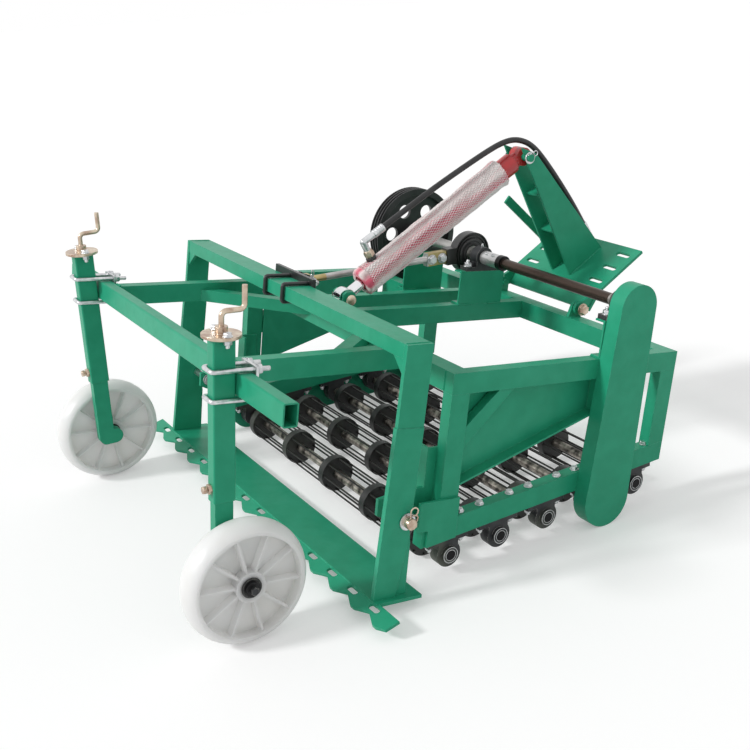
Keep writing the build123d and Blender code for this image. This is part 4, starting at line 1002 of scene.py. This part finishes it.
def add_frame_welds():
    body = Kit()
    for hand in (1, -1):
        for y in (hand * (ARM_Y - ARM_HALF), hand * (ARM_Y + ARM_HALF)):
            body.weld((GAUGE_BACK, y, GAUGE_LOW + 3), (GAUGE_BACK, y, GAUGE_HIGH - 3))
            body.weld((FRAME_FRONT, y, GAUGE_LOW + 3), (FRAME_FRONT, y, FRAME_TOP))
        near, far = hand * (ARM_Y - ARM_WELD_HALF), hand * (ARM_Y + ARM_WELD_HALF)
        body.weld((GAUGE_BACK, near, GAUGE_HIGH), (GAUGE_BACK, far, GAUGE_HIGH))
        rail_welds(body, hand)
        lug = hand * FOOT_LUG_Y
        body.weld((FOOT_LUG_BACK, lug, FRAME_TOP), (FOOT_LUG_FRONT, lug, FRAME_TOP))
        for inset in HINGE_LUG_INSETS:
            lug = hand * (HINGE_END - inset)
            body.weld((HINGE_LUG_BACK, lug, FRAME_TOP), (HINGE_LUG_FRONT, lug, FRAME_TOP), SMALL_WELD)
    for y, half, base in DECK_BEARINGS:
        for hand in (1, -1):
            edge = y + hand * BEARING_BASE_HALF
            inner = half * BEARING_WELD_SHARE
            for start, end in ((-half, -inner), (inner, half)):
                body.weld((SHAFT_X + start, edge, base), (SHAFT_X + end, edge, base), BEARING_WELD)
    body.finish("frame_welds", "frame", FINISH["green_paint"], "green_paint", WELD_SMOOTH)


def add_mast_welds():
    mast = Kit()
    for hand in (1, -1):
        y = hand * MAST_WELD_Y
        mast.weld(on_plate(MAST_WELD_START, y), on_plate(MAST_WELD_END, y), MAST_WELD)
    mast.finish("mast_welds", "mast", FINISH["green_paint"], "green_paint", WELD_SMOOTH)


# Studio
FLOOR_HALF = 30.0
FLOOR_GREY, FLOOR_ROUGHNESS, FLOOR_GLOSS = 0.76, 0.95, 0.1
AMBIENT = 0.60
FLOOR_LIFT = 0.31
SUN_PLACE, SUN_STRENGTH, SUN_SPREAD = (4.8, -1.2, 3.4), 1.8, radians(9)


def seen_directly(tree):
    """1 for camera, mirror and glass rays, 0 for light that falls on the object."""
    path = tree.nodes.new("ShaderNodeLightPath")
    total = path.outputs["Is Camera Ray"]
    for name in ("Is Glossy Ray", "Is Transmission Ray"):
        add = tree.nodes.new("ShaderNodeMath")
        add.operation = "MAXIMUM"
        tree.links.new(total, add.inputs[0])
        tree.links.new(path.outputs[name], add.inputs[1])
        total = add.outputs["Value"]
    return total


def add_floor():
    mesh = bpy.data.meshes.new("floor")
    corners = [(-FLOOR_HALF, -FLOOR_HALF, 0), (FLOOR_HALF, -FLOOR_HALF, 0),
               (FLOOR_HALF, FLOOR_HALF, 0), (-FLOOR_HALF, FLOOR_HALF, 0)]
    mesh.from_pydata(corners, [], [(0, 1, 2, 3)])
    floor = bpy.data.objects.new("floor", mesh)
    bpy.context.scene.collection.objects.link(floor)
    material, tree, shader = new_material("pale_floor")
    shader.inputs["Base Color"].default_value = (FLOOR_GREY, FLOOR_GREY, FLOOR_GREY, 1.0)
    shader.inputs["Roughness"].default_value = FLOOR_ROUGHNESS
    shader.inputs["Specular IOR Level"].default_value = FLOOR_GLOSS
    shader.inputs["Emission Color"].default_value = (1.0, 1.0, 1.0, 1.0)
    tree.links.new(level(tree, seen_directly(tree), 0.0, FLOOR_LIFT), shader.inputs["Emission Strength"])
    mesh.materials.append(material)


def add_sun():
    data = bpy.data.lights.new("sun", "SUN")
    data.energy = SUN_STRENGTH
    data.angle = SUN_SPREAD
    lamp = bpy.data.objects.new("sun", data)
    lamp.location = SUN_PLACE
    lamp.rotation_euler = (-Vector(SUN_PLACE)).to_track_quat("-Z", "Y").to_euler()
    bpy.context.scene.collection.objects.link(lamp)


def add_world():
    world = bpy.data.worlds.new("studio")
    world.use_nodes = True
    tree = world.node_tree
    background = tree.nodes["Background"]
    background.inputs["Color"].default_value = (1.0, 1.0, 1.0, 1.0)
    tree.links.new(level(tree, seen_directly(tree), AMBIENT, 1.0), background.inputs["Strength"])
    bpy.context.scene.world = world


add_camera()
paint_nodes()
add_hose()
add_elbow_nuts()
add_sleeve()
add_net()
add_eccentric_cover()
add_frame_bolts()
add_anchor_bolts()
add_strap_bolts()
add_shaft_screws()
add_mast_clips()
add_hub_nuts()
add_portal_welds()
add_frame_welds()
add_mast_welds()
add_floor()
add_world()
add_sun()

bpy.context.scene.view_settings.view_transform = "Standard"
